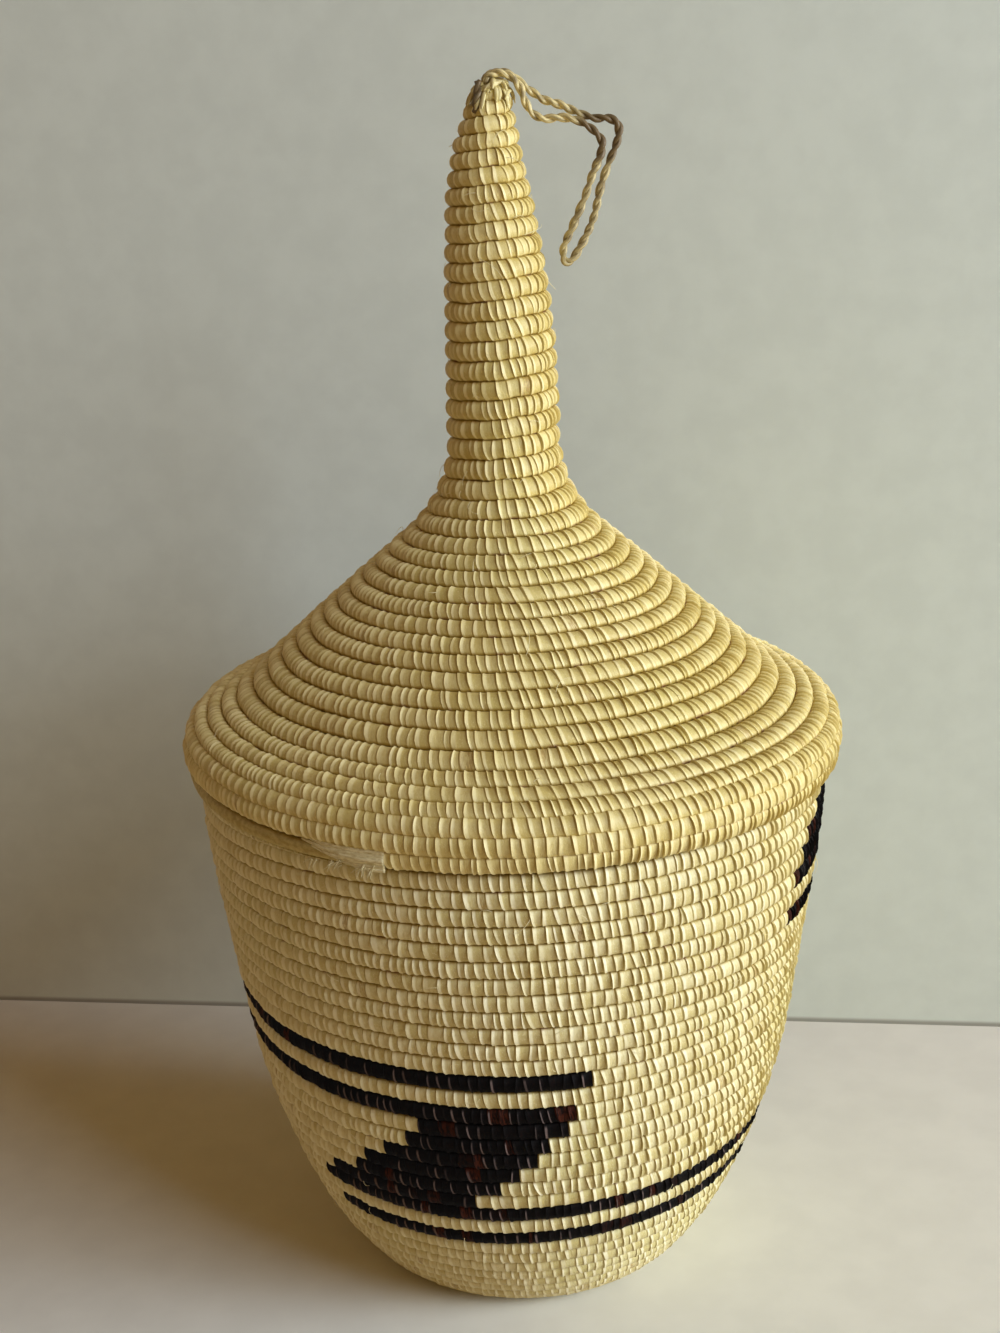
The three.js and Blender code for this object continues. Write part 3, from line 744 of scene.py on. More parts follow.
def natural_strands(name, colours, falls=False, tint=(1.0, 1.0, 1.0)):
    """Pale flat strands: tone by stitch, long fibres, paler specks painted as glints, a painted highlight on
    each stitch's raised edge, painted shade in the lines between the stitches, darkest at the upper side of
    the row, and painted shade in the grooves between the rows, with rusty marks in places.

    A coil whose outline falls runs to the left, so there the stitch and the row are counted the other
    way.
    """
    nodes = new_material(name)
    stitch, across, way, level, from_middle = strand_coordinates(nodes, mirrored=falls)
    rise = nodes.times(level, -1.0 if falls else 1.0)
    tone, kind, edge_strength = (nodes.white(stitch, seed) for seed in (0.5, 7.5, 13.5))
    place = nodes.place()
    height = nodes.split(place)[2]
    patches, spots = nodes.noise(place, 26.0, 3.0), nodes.noise(place, 160.0, 2.0)
    fibres, glints = fibre_noises(nodes, stitch, across, way)

    base = nodes.cover(colour(colours.straw_pale), colours.straw_deep, nodes.ramp(tone, 0.0, 1.0, 0.0, 0.75))
    base = nodes.cover(base, colours.straw_green, nodes.ramp(patches, 0.46, 0.66, 0.0, 0.5))
    base = nodes.cover(base, colours.straw_deep, nodes.ramp(fibres, 0.42, 0.72, 0.0, 0.6))
    # Paler specks where the fine fibres' noise is high: painted glints.
    base = nodes.cover(base, colours.straw_highlight_and_hairs, nodes.ramp(glints, 0.54, 0.7, 0.0, 0.55))
    brown = nodes.times(nodes.ramp(kind, 0.985, 0.99), nodes.ramp(fibres, 0.4, 0.6, 0.1, 0.6))
    base = nodes.cover(base, colours.straw_brown, brown)
    # Painted highlight on the raised edge of each stitch, stronger on some stitches than on others.
    edge = nodes.times(nodes.ramp(across, 0.08, 0.14), nodes.ramp(across, 0.44, 0.3))
    edge = nodes.times(edge, nodes.ramp(edge_strength, 0.0, 1.0, 0.45, 1.0))
    base = nodes.cover(base, colours.straw_highlight_and_hairs, edge)

    # Painted shade in the lines between the stitches: less of it at the foot, and most at the upper side of
    # the row.
    line = nodes.math("MAXIMUM", nodes.ramp(across, 0.12, 0.03), nodes.ramp(across, 0.94, 0.99))
    line = nodes.times(line, nodes.length_ramp(height, LINE_SHADE_GROWS, 0.35, 1.0))
    line = nodes.times(line, nodes.ramp(rise, -0.7, 0.7, 0.35, 0.95))
    base = nodes.cover(base, colours.gap, line)
    # Painted shade in the grooves between the rows, less of it at the foot, with real rusty marks in places.
    groove_shade = nodes.cover(colour(colours.groove_shade), colours.rust, nodes.ramp(spots, 0.6, 0.66))
    deep = nodes.length_ramp(height, GROOVE_SHADE_GROWS, 0.5, 1.0)
    deep = nodes.times(nodes.ramp(from_middle, 0.76, 0.97, 0.0, 0.9), deep)
    base = nodes.mix(deep, base, groove_shade)
    base = nodes.mix(1.0, base, colour(tint), "MULTIPLY")
    relief = fibre_relief(nodes, fibres, glints, 0.34, 0.6)
    nodes.shade({"Base Color": base, "Specular IOR Level": 0.5, **relief})
    return nodes.owner


def dyed_strands(name, colours):
    """Near-black strands with red-brown ones among them and thin greyish folded edges."""
    nodes = new_material(name)
    stitch, across, way, _, from_middle = strand_coordinates(nodes)
    kind, edge_strength = (nodes.white(stitch, seed) for seed in (7.5, 13.5))
    fibres, glints = fibre_noises(nodes, stitch, across, way)
    base = nodes.cover(colour(colours.dyed), colours.dyed_brown, nodes.ramp(fibres, 0.42, 0.75, 0.0, 0.5))
    red = nodes.times(nodes.ramp(kind, 0.88, 0.94), nodes.ramp(fibres, 0.4, 0.62, 0.05, 0.75))
    base = nodes.cover(base, colours.dyed_red, red)
    edge = nodes.times(nodes.ramp(across, 0.1, 0.15), nodes.ramp(across, 0.3, 0.22))
    edge = nodes.times(edge, nodes.ramp(from_middle, 0.85, 0.55))
    edge = nodes.times(edge, nodes.ramp(edge_strength, 0.35, 1.0, 0.0, 0.8))
    base = nodes.cover(base, colours.dyed_edge, edge)
    relief = fibre_relief(nodes, fibres, glints, 0.5, 0.75)
    nodes.shade({"Base Color": base, "Specular IOR Level": 0.07, **relief})
    return nodes.owner


def loose_strands(name, first, second):
    """Loose ends of strand: streaks of two tones along each."""
    nodes = new_material(name)
    turn, along = nodes.strand()
    strand, around = nodes.math("FLOOR", turn), nodes.math("FRACT", turn)
    streaks = nodes.noise(nodes.scaled((around, 9.0), (along, 0.5), (strand, 7.0)), 1.0, 4.0, 0.6)
    base = nodes.cover(colour(first), second, nodes.ramp(streaks, 0.38, 0.66))
    base = nodes.cover(base, second, nodes.ramp(nodes.white(strand, 0.5), 0.0, 1.0, 0.0, 0.6))
    nodes.shade({"Base Color": base, "Roughness": 0.5, "Normal": nodes.bump(streaks, 0.5, 0.0002)})
    return nodes.owner


def twine_fibre(name, colours):
    """Twisted fibre: streaks along each ply, darker lengths, a dark knotty bend where the loop turns
    down, and darker strands below it."""
    nodes = new_material(name)
    turn, along = nodes.strand()
    streaks = nodes.noise(nodes.scaled((nodes.math("FRACT", turn), 9.0), (along, 0.4)), 1.0, 4.0)
    lengths = nodes.noise(nodes.vector(along, 0.0), 0.22, 2.0)
    place = nodes.place()
    height = nodes.split(place)[2]
    flat = nodes.fed("ShaderNodeVectorMath", place, (1, 0, 1), operation="MULTIPLY")
    bend = tuple(part * MM for part in np.add(TWINE_BEND, (0, 0, TIP_HEIGHT)))
    from_bend = nodes.add("ShaderNodeVectorMath", operation="DISTANCE")
    nodes.set(from_bend.inputs[0], flat)
    nodes.set(from_bend.inputs[1], bend)
    dark = nodes.length_ramp(from_bend.outputs["Value"], BEND_DARKENS, 0.0, 0.95)
    hanging = nodes.length_ramp(height, np.add(STRANDS_DARKEN, TIP_HEIGHT), 0.0, 0.45)
    base = nodes.cover(colour(colours.twine), colours.twine_dark, nodes.ramp(streaks, 0.4, 0.62, 0.0, 0.6))
    base = nodes.cover(base, colours.twine_dark, nodes.ramp(lengths, 0.5, 0.62, 0.0, 0.5))
    base = nodes.cover(base, colours.twine_dark, nodes.math("MAXIMUM", dark, hanging))
    nodes.shade({"Base Color": base, "Roughness": 0.5, "Normal": nodes.bump(streaks, 0.6, 0.0002)})
    return nodes.owner


def plain_surface(name, value, thrown, grain, one_sided=False):
    """Matt painted surface with a faint grain, and the colour of the light that it throws back.

    A one-sided one has a line of shade at its foot and isn't seen from behind."""
    nodes = new_material(name)
    place = nodes.place()
    darker = [part * 0.95 for part in value]
    base = nodes.cover(colour(value), darker, nodes.ramp(nodes.noise(place, grain, 4.0), 0.3, 0.7))
    if one_sided:
        foot = nodes.length_ramp(nodes.split(place)[2], WALL_FOOT, 0.0, 0.6)
        base = nodes.cover(base, WALL_FOOT_COLOUR, foot)
    base = nodes.mix(nodes.seen(), colour(thrown), base)
    surface = nodes.shade({"Base Color": base, "Roughness": 0.85, "Specular IOR Level": 0.2})
    if one_sided:
        clear = nodes.add("ShaderNodeBsdfTransparent").outputs[0]
        behind = nodes.add("ShaderNodeNewGeometry").outputs["Backfacing"]
        surface = nodes.blend(behind, surface, clear)
        nodes.set(nodes.tree.nodes["Material Output"].inputs["Surface"], surface)
    return nodes.owner


# Settings that a user would change

def length_property(name, description, default):
    """A length in metres."""
    return FloatProperty(
        name=name, description=description, default=default, min=0.0, subtype="DISTANCE", unit="LENGTH",
        precision=5,
    )


def angle_property(name, description, degrees):
    """An angle, given in degrees."""
    return FloatProperty(name=name, description=description, default=math.radians(degrees), subtype="ANGLE")


def share_property(name, description, default, low, high):
    """A plain number between two limits."""
    return FloatProperty(name=name, description=description, default=default, min=low, max=high)


def power_property(name, description, default):
    """A lamp's power in watts."""
    return FloatProperty(name=name, description=description, default=default, min=0.0, unit="POWER")


def colour_property(name, description, default):
    """A linear colour."""
    return FloatVectorProperty(
        name=name, description=description, default=default, size=3, min=0.0, max=1.0, subtype="COLOR",
    )


class BasketSizes(bpy.types.PropertyGroup):
    """Sizes of the coil and its stitches."""

    coil_thickness: length_property("Coil thickness", "Thickness of the sewn coil through the wall", 4.6 * MM)
    stitch_width: length_property("Stitch width", "Width of one stitch on the basket", 2.35 * MM)
    spire_stitch_width: length_property("Spire stitch width", "Width of one stitch on the spire", 2.25 * MM)
    stitch_depth: length_property("Stitch depth", "Height of a stitch's raised edge", 0.5 * MM)
    stitch_hook: length_property("Stitch hook", "How far the foot of a stitch bends to the right", 0.5 * MM)
    stitch_slant: length_property("Stitch slant", "How far each end of a stitch leans to a side", 0.3 * MM)
    unevenness: length_property("Unevenness", "How far hand-sewn rows wander", 0.3 * MM)
    basket_crown: share_property("Basket row crown", "Squareness of the basket's rows", 2.4, 2.0, 6.0)
    lid_crown: share_property("Lid row crown", "Squareness of the lid's rows", 2.15, 2.0, 6.0)


class BasketColours(bpy.types.PropertyGroup):
    """Colours of the strands, the twine and the stage."""

    straw_pale: colour_property("Pale straw", "Palest natural strands", (0.82, 0.745, 0.42))
    straw_deep: colour_property("Deep straw", "Deepest natural strands", (0.62, 0.51, 0.18))
    straw_green: colour_property("Greenish straw", "Slightly green patches", (0.67, 0.62, 0.255))
    straw_brown: colour_property("Brown straw", "Single brown strands", (0.36, 0.20, 0.06))
    # Palest straw: the painted highlight on the stitches' raised edges and the painted glints, and also the
    # loose hairs' own pale tone.
    straw_highlight_and_hairs: colour_property("Strand edge", "Folded edges of the strands", (0.95, 0.90, 0.62))
    lid_tint: colour_property("Lid tint", "Golden tint of the lid's strands", (0.99, 0.94, 0.75))
    stub: colour_property("Stub", "Dark stub of twine at the tip", (0.17, 0.12, 0.05))
    # Colour of the painted shade in the lines between the stitches, also used for the streaks of the bare
    # tail bundle.
    gap: colour_property("Stitch gap", "Lines between the stitches", (0.46, 0.34, 0.085))
    # Colour of the painted shade in the grooves between the rows.
    groove_shade: colour_property("Groove", "Grooves between the rows", (0.40, 0.275, 0.045))
    rust: colour_property("Rusty groove", "Rusty places in the grooves", (0.26, 0.10, 0.03))
    dyed: colour_property("Dyed", "Dyed strands", (0.0018, 0.001, 0.001))
    dyed_brown: colour_property("Dyed brown", "Thinly dyed fibres", (0.011, 0.004, 0.0035))
    dyed_red: colour_property("Dyed red-brown", "Faded red-brown strands", (0.085, 0.020, 0.010))
    dyed_edge: colour_property("Dyed edge", "Folded edges of dyed strands", (0.19, 0.14, 0.13))
    twine: colour_property("Twine", "Crests of the twine", (0.85, 0.73, 0.36))
    twine_dark: colour_property("Twine shade", "Darker fibres of the twine", (0.11, 0.06, 0.014))
    frayed: colour_property("Frayed end", "Pale frayed ends of strands", (0.92, 0.88, 0.60))
    frayed_shade: colour_property("Frayed shade", "Darker fibres of frayed ends", (0.60, 0.52, 0.27))
    floor_light: colour_property("Floor light", "Colour of the light from the floor", (0.66, 0.54, 0.34))
    wall_light: colour_property("Wall light", "Colour of the light from the wall", (0.48, 0.35, 0.16))
    floor: colour_property("Floor", "Pale floor", (0.89, 0.93, 0.895))
    wall: colour_property("Backdrop", "Pale wall behind", (0.775, 0.885, 0.865))


class StageSettings(bpy.types.PropertyGroup):
    """Light levels of the stage."""

    near_window: power_property("Near window", "Power of the light at the front right", 9.6)
    near_side: angle_property("Near window side", "Angle from the front to the right", 50)
    near_rise: angle_property("Near window rise", "Angle above the floor", 33)
    far_window: power_property("Far window", "Power of the light at the right", 25.8)
    far_side: angle_property("Far window side", "Angle from the front to the right", 79)
    far_rise: angle_property("Far window rise", "Angle above the floor", 9)
    window_size: length_property("Window size", "Side of each square window", 0.73)
    room: FloatProperty(
        name="Room light", description="Strength of the even warm light all round", default=0.17, min=0.0,
    )


def settings():
    """Sizes, colours and stage settings of this scene."""
    scene = bpy.context.scene
    return scene.basket_sizes, scene.basket_colours, scene.basket_stage


# Camera: focal length in the photograph's pixels, angles in degrees and lengths in millimetres
CAMERA = {
    "focal_px": 1725.0,
    "pitch": 17.46,
    "roll": -1.82,
    "distance": 401.6,
    "height": 279.0,
    "side": -2.51,
}
PHOTO_SIZE = (1000, 1333)
SENSOR_WIDTH = 36.0
CLIP_RANGE = (0.01, 20)


class BASKET_OT_camera(bpy.types.Operator):
    """Makes the camera at the photograph's place and angle"""

    bl_idname = "basket.camera"
    bl_label = "Camera"

    def execute(self, context):
        data = bpy.data.cameras.new("camera")
        data.sensor_width = SENSOR_WIDTH
        data.lens = CAMERA["focal_px"] / max(PHOTO_SIZE) * SENSOR_WIDTH
        data.clip_start, data.clip_end = CLIP_RANGE
        camera = new_object("camera", data)
        pitch, roll = math.radians(CAMERA["pitch"]), math.radians(CAMERA["roll"])
        ahead = np.array((0, math.cos(pitch), -math.sin(pitch)))
        right = np.array((1.0, 0, 0))
        up = np.cross(right, ahead)
        turned = np.eye(4)
        turned[:3, 0] = math.cos(roll) * right + math.sin(roll) * up
        turned[:3, 1] = math.cos(roll) * up - math.sin(roll) * right
        turned[:3, 2] = -ahead
        turned[:3, 3] = np.array((CAMERA["side"], -CAMERA["distance"], CAMERA["height"])) * MM
        camera.matrix_world = Matrix(turned.tolist())
        context.scene.camera = camera
        return {"FINISHED"}


# Tubes along lines

# What the way round a tube adds to its number in the UV
WHOLE_WAY = 0.999

# Twine: the step between its rings, the waves in which the twist wanders, as amounts, millimetres in
# which they shift by a radian and shifts, the waves in which a ply swells, and the ply's sides
TWINE_STEP = 0.45
TWIST_WAVES = ((0.5, 5.3, 1), (0.3, 2.9, 0))
PLY_WAVES = ((0.1, 2.3), (0.07, 1.1))
PLY_SIDES = 9


def frame_along(line, over):
    """Unit directions to the side of a line and over it, so that side x over points along the line."""
    ahead = np.gradient(line, axis=0)
    ahead /= np.linalg.norm(ahead, axis=1)[:, None]
    side = np.cross(over, ahead)
    side /= np.linalg.norm(side, axis=1)[:, None]
    return side, np.cross(ahead, side)


def tube_rings(line, over, width, thickness, sides):
    """Rings of an elliptic tube: line + side * width / 2 * cos a + over * thickness / 2 * sin a."""
    side, top = frame_along(line, over)
    turn = 2 * np.pi * np.arange(sides) / sides
    width, thickness = (np.broadcast_to(v, len(line))[:, None, None] / 2 for v in (width, thickness))
    across = side[:, None] * np.cos(turn)[None, :, None] * width
    return line[:, None] + across + top[:, None] * np.sin(turn)[None, :, None] * thickness


def tubes_piece(name, tubes, material, body, replaced=()):
    """Closed tubes from arrays of rings. The UV is the tube's number plus the way round it, which
    stops just short of the next number, and the distance along it in millimetres."""
    points, faces, uvs, shift = [], [], [], 0
    for number, rings in enumerate(tubes):
        count, sides = rings.shape[:2]
        j, i = np.meshgrid(np.arange(count - 1), np.arange(sides), indexing="ij")
        ring = np.stack((j, j, j + 1, j + 1), -1).reshape(-1, 4)
        around = np.stack((i, i + 1, i + 1, i), -1).reshape(-1, 4)
        along = distances(rings.mean(axis=1))
        cap = np.arange(sides)[None]
        last = (count - 1) * sides
        points.append(rings.reshape(-1, 3))
        faces += [group + shift for group in (ring * sides + around % sides, cap[:, ::-1], cap + last)]
        uvs.append(np.stack((number + WHOLE_WAY * around / sides, along[ring]), -1).reshape(-1, 2))
        uvs += [np.tile((number + 0.5, end), (sides, 1)) for end in (0, along[-1])]
        shift += count * sides
    return new_piece(name, np.concatenate(points), faces, uvs, material, body, replaced)


def evenly(path, step):
    """The same line with its points a step apart, and the distance of each from the start."""
    along = distances(path)
    even = np.linspace(0, along[-1], max(3, int(along[-1] / step)))
    return np.stack([np.interp(even, along, column) for column in path.T], -1), even


def twisted_twine(path, plies, twist, seed):
    """Plies that wind round a path: ply centre = path + offset * (side cos a + over sin a), with the
    angle a growing by a full turn every twist millimetres. Each ply swells and thins a little."""
    random = np.random.default_rng(seed)
    line, even = evenly(path, TWINE_STEP)
    side, over = frame_along(line, (0, 1, 0))
    ply = TWINE_DIAMETER * PLY_SHARE
    offset = (TWINE_DIAMETER - ply) / 2
    wander = sum(amount * np.sin(even / shifting + shift) for amount, shifting, shift in TWIST_WAVES)
    tubes = []
    for number in range(plies):
        turn = 2 * np.pi * (even / twist + number / plies) + wander
        centre = line + offset * (np.cos(turn)[:, None] * side + np.sin(turn)[:, None] * over)
        swell = sum(amount * np.sin(even / shifting + random.uniform(0, 6)) for amount, shifting in PLY_WAVES)
        tubes.append(tube_rings(centre, over, ply * (1 + swell), ply * (1 + swell), PLY_SIDES))
    return tubes


# Pieces of the basket and the lid

class BASKET_OT_hanging_loop(bpy.types.Operator):
    """Makes the two-ply twine loop that hangs from the tip"""

    bl_idname = "basket.hanging_loop"
    bl_label = "Hanging loop"

    def execute(self, context):
        _, colours, _ = settings()
        tip = np.array((0, 0, TIP_HEIGHT + TIP_GAP))
        route = np.array(LOOP_ROUTE, float) * (1, TWINE_SPACING / 2, 1) + tip
        path = smooth_line(route, steps=12)
        tubes = twisted_twine(path, plies=2, twist=TWINE_TWIST, seed=4)
        twine = twine_fibre("twine", colours)
        loop = tubes_piece("twine_loop", tubes, twine, "lid", ("hanging_loop",))
        return {"FINISHED"}


class BASKET_OT_basket(bpy.types.Operator):
    """Winds and sews the basket's coil, with its dyed runs"""

    bl_idname = "basket.basket"
    bl_label = "Basket"

    def execute(self, context):
        sizes, colours, _ = settings()
        widths = ((0, sizes.spire_stitch_width / MM), (30, sizes.stitch_width / MM))
        coil = Coil(
            basket_outline(), BASKET_TURNS, BASKET_PITCHES, BASKET_COIL_END, sense=1, up=1,
            stitch_width=widths, lean=upright, seed=11, sizes=sizes, crown=sizes.basket_crown,
            start_relief=0.12, sag=BASKET_SAG,
        )
        points = coil.points()
        natural = natural_strands("natural_strands", colours)
        dyed = dyed_strands("dyed_strands", colours)
        undyed = np.ones(coil.count, bool)
        for run, rows in DYED_PATTERN.items():
            marked = dyed_stitches(coil, rows)
            undyed &= ~marked
            coil_piece("sewn_" + run, coil, points, marked, dyed, "basket", (run,))
        for name, (low, high) in BASKET_BANDS.items():
            chosen = undyed & (coil.middles >= low) & (coil.middles < high)
            coil_piece(name, coil, points, chosen, natural, "basket", ("basket_coil",))
        return {"FINISHED"}


class BASKET_OT_lid(bpy.types.Operator):
    """Winds and sews the lid's coil from the tip of the spire to the edge"""

    bl_idname = "basket.lid"
    bl_label = "Lid"

    def execute(self, context):
        sizes, colours, _ = settings()
        widths = ((8, sizes.spire_stitch_width / MM), (30, sizes.stitch_width / MM))
        coil = Coil(
            lid_outline(), LID_TURNS, LID_PITCHES, LID_COIL_END, sense=-1, up=-1,
            stitch_width=widths, lean=spire_lean, seed=23, sizes=sizes, crown=sizes.lid_crown,
            step_from=0.9, start=0.5, start_relief=0.75,
        )
        points = coil.points()
        natural = natural_strands("natural_lid_strands", colours, falls=True, tint=tuple(colours.lid_tint))
        for name, (low, high) in LID_BANDS.items():
            chosen = (coil.middles >= low) & (coil.middles < high)
            coil_piece(name, coil, points, chosen, natural, "lid", ("lid_coil",))
        return {"FINISHED"}


class BASKET_OT_collar(bpy.types.Operator):
    """Winds and sews the collar under the lid"""

    bl_idname = "basket.collar"
    bl_label = "Collar"

    def execute(self, context):
        sizes, colours, _ = settings()
        low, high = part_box("lid_collar")
        radius, bottom, top = high[0] / MM, low[2] / MM, high[2] / MM
        outline = Outline(bezier((radius, bottom), (radius, top - COLLAR_TOP_GAP)))
        turns = round(outline.length / COLLAR_PITCH) + 1
        widths = ((0, sizes.stitch_width / MM), (radius, sizes.stitch_width / MM))
        coil = Coil(
            outline, turns, (*COLLAR_TAPER, (turns, 1)), LID_COIL_END, sense=1, up=1,
            stitch_width=widths, lean=upright, seed=37, sizes=sizes, crown=sizes.basket_crown,
            thickness=COLLAR_THICKNESS, level_rows=1,
        )
        natural = natural_strands("natural_collar_strands", colours)
        points, every = coil.points(), np.ones(coil.count, bool)
        coil_piece("collar_rows", coil, points, every, natural, "lid", ("lid_collar",))
        return {"FINISHED"}


# Strands over the lid's tip: how many, how far each is turned from the one before in degrees, and for
# the thin and the thick ones the ranges of the two ends' distances from the tip, the lift off the
# outline, the width and the shift to the side, and the thickness. Every third one is thick. Then the
# step between a strand's rings, its sides, the length of its tapered ends and the shares of its width
# and thickness at the ends. They face away from a point in the knob, which lies this deep under the
# tip, and the outline only widens over its first points, of which this many are looked at.
WRAPS = 34
WRAP_TURN = 137.5
WRAP_TURN_SPREAD = 15
THIN_WRAP = {
    "reach": (3.5, 9.0), "lift": (-0.1, 0.4), "width": (0.7, 1.4), "side": (-4.2, 4.2), "thickness": 0.5,
}
THICK_WRAP = {
    "reach": (2.5, 5.0), "lift": (0.5, 1.3), "width": (1.0, 1.5), "side": (-2.8, 2.8), "thickness": 1.0,
}
WRAP_STEP = 0.5
WRAP_SIDES = 8
WRAP_TAPER = 1.5
WRAP_END_WIDTH = 0.3
WRAP_END_THICKNESS = 0.4
KNOB_DEPTH = 7
KNOB_POINTS = 200
STUB_ROUTE = ((-3.9, -3.8, -5.6), (-3.7, -4.1, -3.4), (-3.4, -3.9, -1.2), (-3.3, -3.6, 0.9))
STUB_TWIST = 5.0


def knob_wrap(outline, side, heading, reach, lift, width, thickness):
    """A flat strand over the lid's tip, in an upright plane beside the axis.

    At each distance s from the tip it is at radius r(s), so its place along the plane is
    +-sqrt(r(s)^2 - side^2), and it lies a lift above the outline. It starts where the outline, which
    only widens over its first points, is as wide as the side. Its points are closer near the tip.
    """
    first = slice(KNOB_POINTS)
    start = float(np.interp(abs(side), outline.r[first], outline.even[first]))
    way = np.linspace(-1, 1, 81)
    s = start + (np.where(way < 0, *reach) - start) * np.abs(way) ** 1.5
    r, z, nr, nz = outline.at(s)
    along = np.sign(way) * np.sqrt(np.maximum(r * r - side * side, 0))
    r = np.maximum(np.hypot(along, side), 1e-3)
    cos, sin = math.cos(math.radians(heading)), math.sin(math.radians(heading))
    flat = np.stack((along, np.full(len(way), side)), -1) / r[:, None] @ np.array(((cos, sin), (-sin, cos)))
    over = np.column_stack((flat * nr[:, None], nz))
    line = np.column_stack((flat * r[:, None], z)) + over * lift
    line[:, 0] += spire_lean(z)
    line, even = evenly(line, WRAP_STEP)
    knob = np.column_stack((spire_lean(line[:, 2]), 0 * even, 0 * even + TIP_HEIGHT - KNOB_DEPTH))
    ends = smooth_step(np.minimum(even, even[-1] - even) / WRAP_TAPER)
    width, thickness = (
        full * (least + (1 - least) * ends)
        for full, least in ((width, WRAP_END_WIDTH), (thickness, WRAP_END_THICKNESS))
    )
    return tube_rings(line, line - knob, width, thickness, WRAP_SIDES)


class BASKET_OT_lid_tip(bpy.types.Operator):
    """Makes the strands that cover the tip of the lid, and the stub of twine in it"""

    bl_idname = "basket.lid_tip"
    bl_label = "Lid tip"

    def execute(self, context):
        _, colours, _ = settings()
        outline = lid_outline()
        random = np.random.default_rng(5)
        wraps = []
        for number in range(WRAPS):
            kind = THICK_WRAP if number % 3 == 2 else THIN_WRAP
            heading = WRAP_TURN * number + random.uniform(-WRAP_TURN_SPREAD, WRAP_TURN_SPREAD)
            reach = random.uniform(*kind["reach"], 2)
            lift, width, side = (random.uniform(*kind[key]) for key in ("lift", "width", "side"))
            wraps.append(knob_wrap(outline, side, heading, reach, lift, width, kind["thickness"]))
        strands = loose_strands("tip_strands", colours.straw_pale, colours.straw_deep)
        tubes_piece("lid_tip_strands", wraps, strands, "lid", ("lid_coil",))
        stub = np.array(STUB_ROUTE) + (0, 0, TIP_HEIGHT)
        tubes = twisted_twine(smooth_line(stub), plies=2, twist=STUB_TWIST, seed=8)
        twine = loose_strands("stub_twine", colours.stub, colours.twine_dark)
        tubes_piece("lid_tip_stub", tubes, twine, "lid")
        return {"FINISHED"}


# End of the lid's coil. Heights are above the seat and distances out of the lid's radius. The size of
# the bare tail is its width and thickness. All the strips start together, move outwards and up by the
# way's steps, and have lost this share of their size at their end. A strip has its drop from their
# height, the angle where it ends, its width and its distance outwards. A tuft has the angle of its
# roots and the number of its fibres. A fibre has the spread of its root in degrees and ranges of its
# length, steepness in radians, bend outwards, height and width, in the order in which they are drawn.
TAIL_START = -112
TAIL_WAY = {"radius": (-3.1, -2.7), "height": (2.0, 2.3, 2.3)}
TAIL_SIZE = (3.9, 3.4)
STRIPS_START = LID_SEWING_END + 2
STRIPS_TOP = 4.0
STRIPS_WAY = {"out": (-0.4, 0, 0, -0.9), "up": (0, 0, 0.15, 0.75)}
STRIPS_THICKNESS = 1.1
STRIPS_THIN = 0.7
STRIPS = (
    (-0.7, -126, 1.5, -0.85), (0.2, -125.5, 1.6, -0.6), (1.3, -123.5, 1.5, -0.5),
    (2.3, -120.5, 1.5, -0.7), (3.0, -117.5, 1.2, -0.7), (0.8, -121, 1.4, -0.3),
)
TUFTS = ((LID_SEWING_END - 0.5, 12), (-118.2, 8), (-122, 3))
FIBRE = {
    "root": (-1.2, 1.2), "length": (1.0, 3.0), "steep": (0.5, 1.6), "out": (-0.2, 0.6),
    "height": (1.0, 2.2), "width": (0.2, 0.5),
}


def arc_line(start, end, radius, height, steps=60):
    """Points round the axis from one angle to another, with the distance out of the lid's radius and
    the height above the seat given at even shares, and the share of each point."""
    share = np.linspace(0, 1, steps)
    angle = np.radians(start + (end - start) * share)
    r, z = (np.interp(share, np.linspace(0, 1, len(v)), v) for v in (radius, height))
    r, z = LID_RADIUS + r, SEAT_HEIGHT + z
    return np.column_stack((r * np.cos(angle), r * np.sin(angle), z)), share


def frayed_strip(drop, reach, width, out):
    """A flat strip of strand round the lid's edge, which rises and thins towards its end."""
    radius, height = np.add(out, STRIPS_WAY["out"]), np.add(STRIPS_TOP - drop, STRIPS_WAY["up"])
    line, share = arc_line(STRIPS_START, reach, radius, height, 40)
    size = 1 - STRIPS_THIN * share**2
    return tube_rings(line, line * (1, 1, 0), width * size, STRIPS_THICKNESS * size, 10)


def frayed_fibre(root, random):
    """A fibre that leaves the lid's edge to the left, bends down and outwards and thins to its end."""
    shift, length, steep, out, height, width = (random.uniform(*limits) for limits in FIBRE.values())
    t = np.linspace(0, 1, 9)
    angle = np.radians(root + shift) - length * t * math.cos(steep) / LID_RADIUS
    radius = LID_RADIUS - 0.3 + (0.5 * t + out * t * t)
    level = SEAT_HEIGHT + height - length * math.sin(steep) * t**1.4
    line = np.column_stack((radius * np.cos(angle), radius * np.sin(angle), level))
    thin = (1 - t) ** 0.5 + 0.1
    return tube_rings(line, line * (1, 1, 0), width * thin, 0.16 * thin + 0.04, 6)


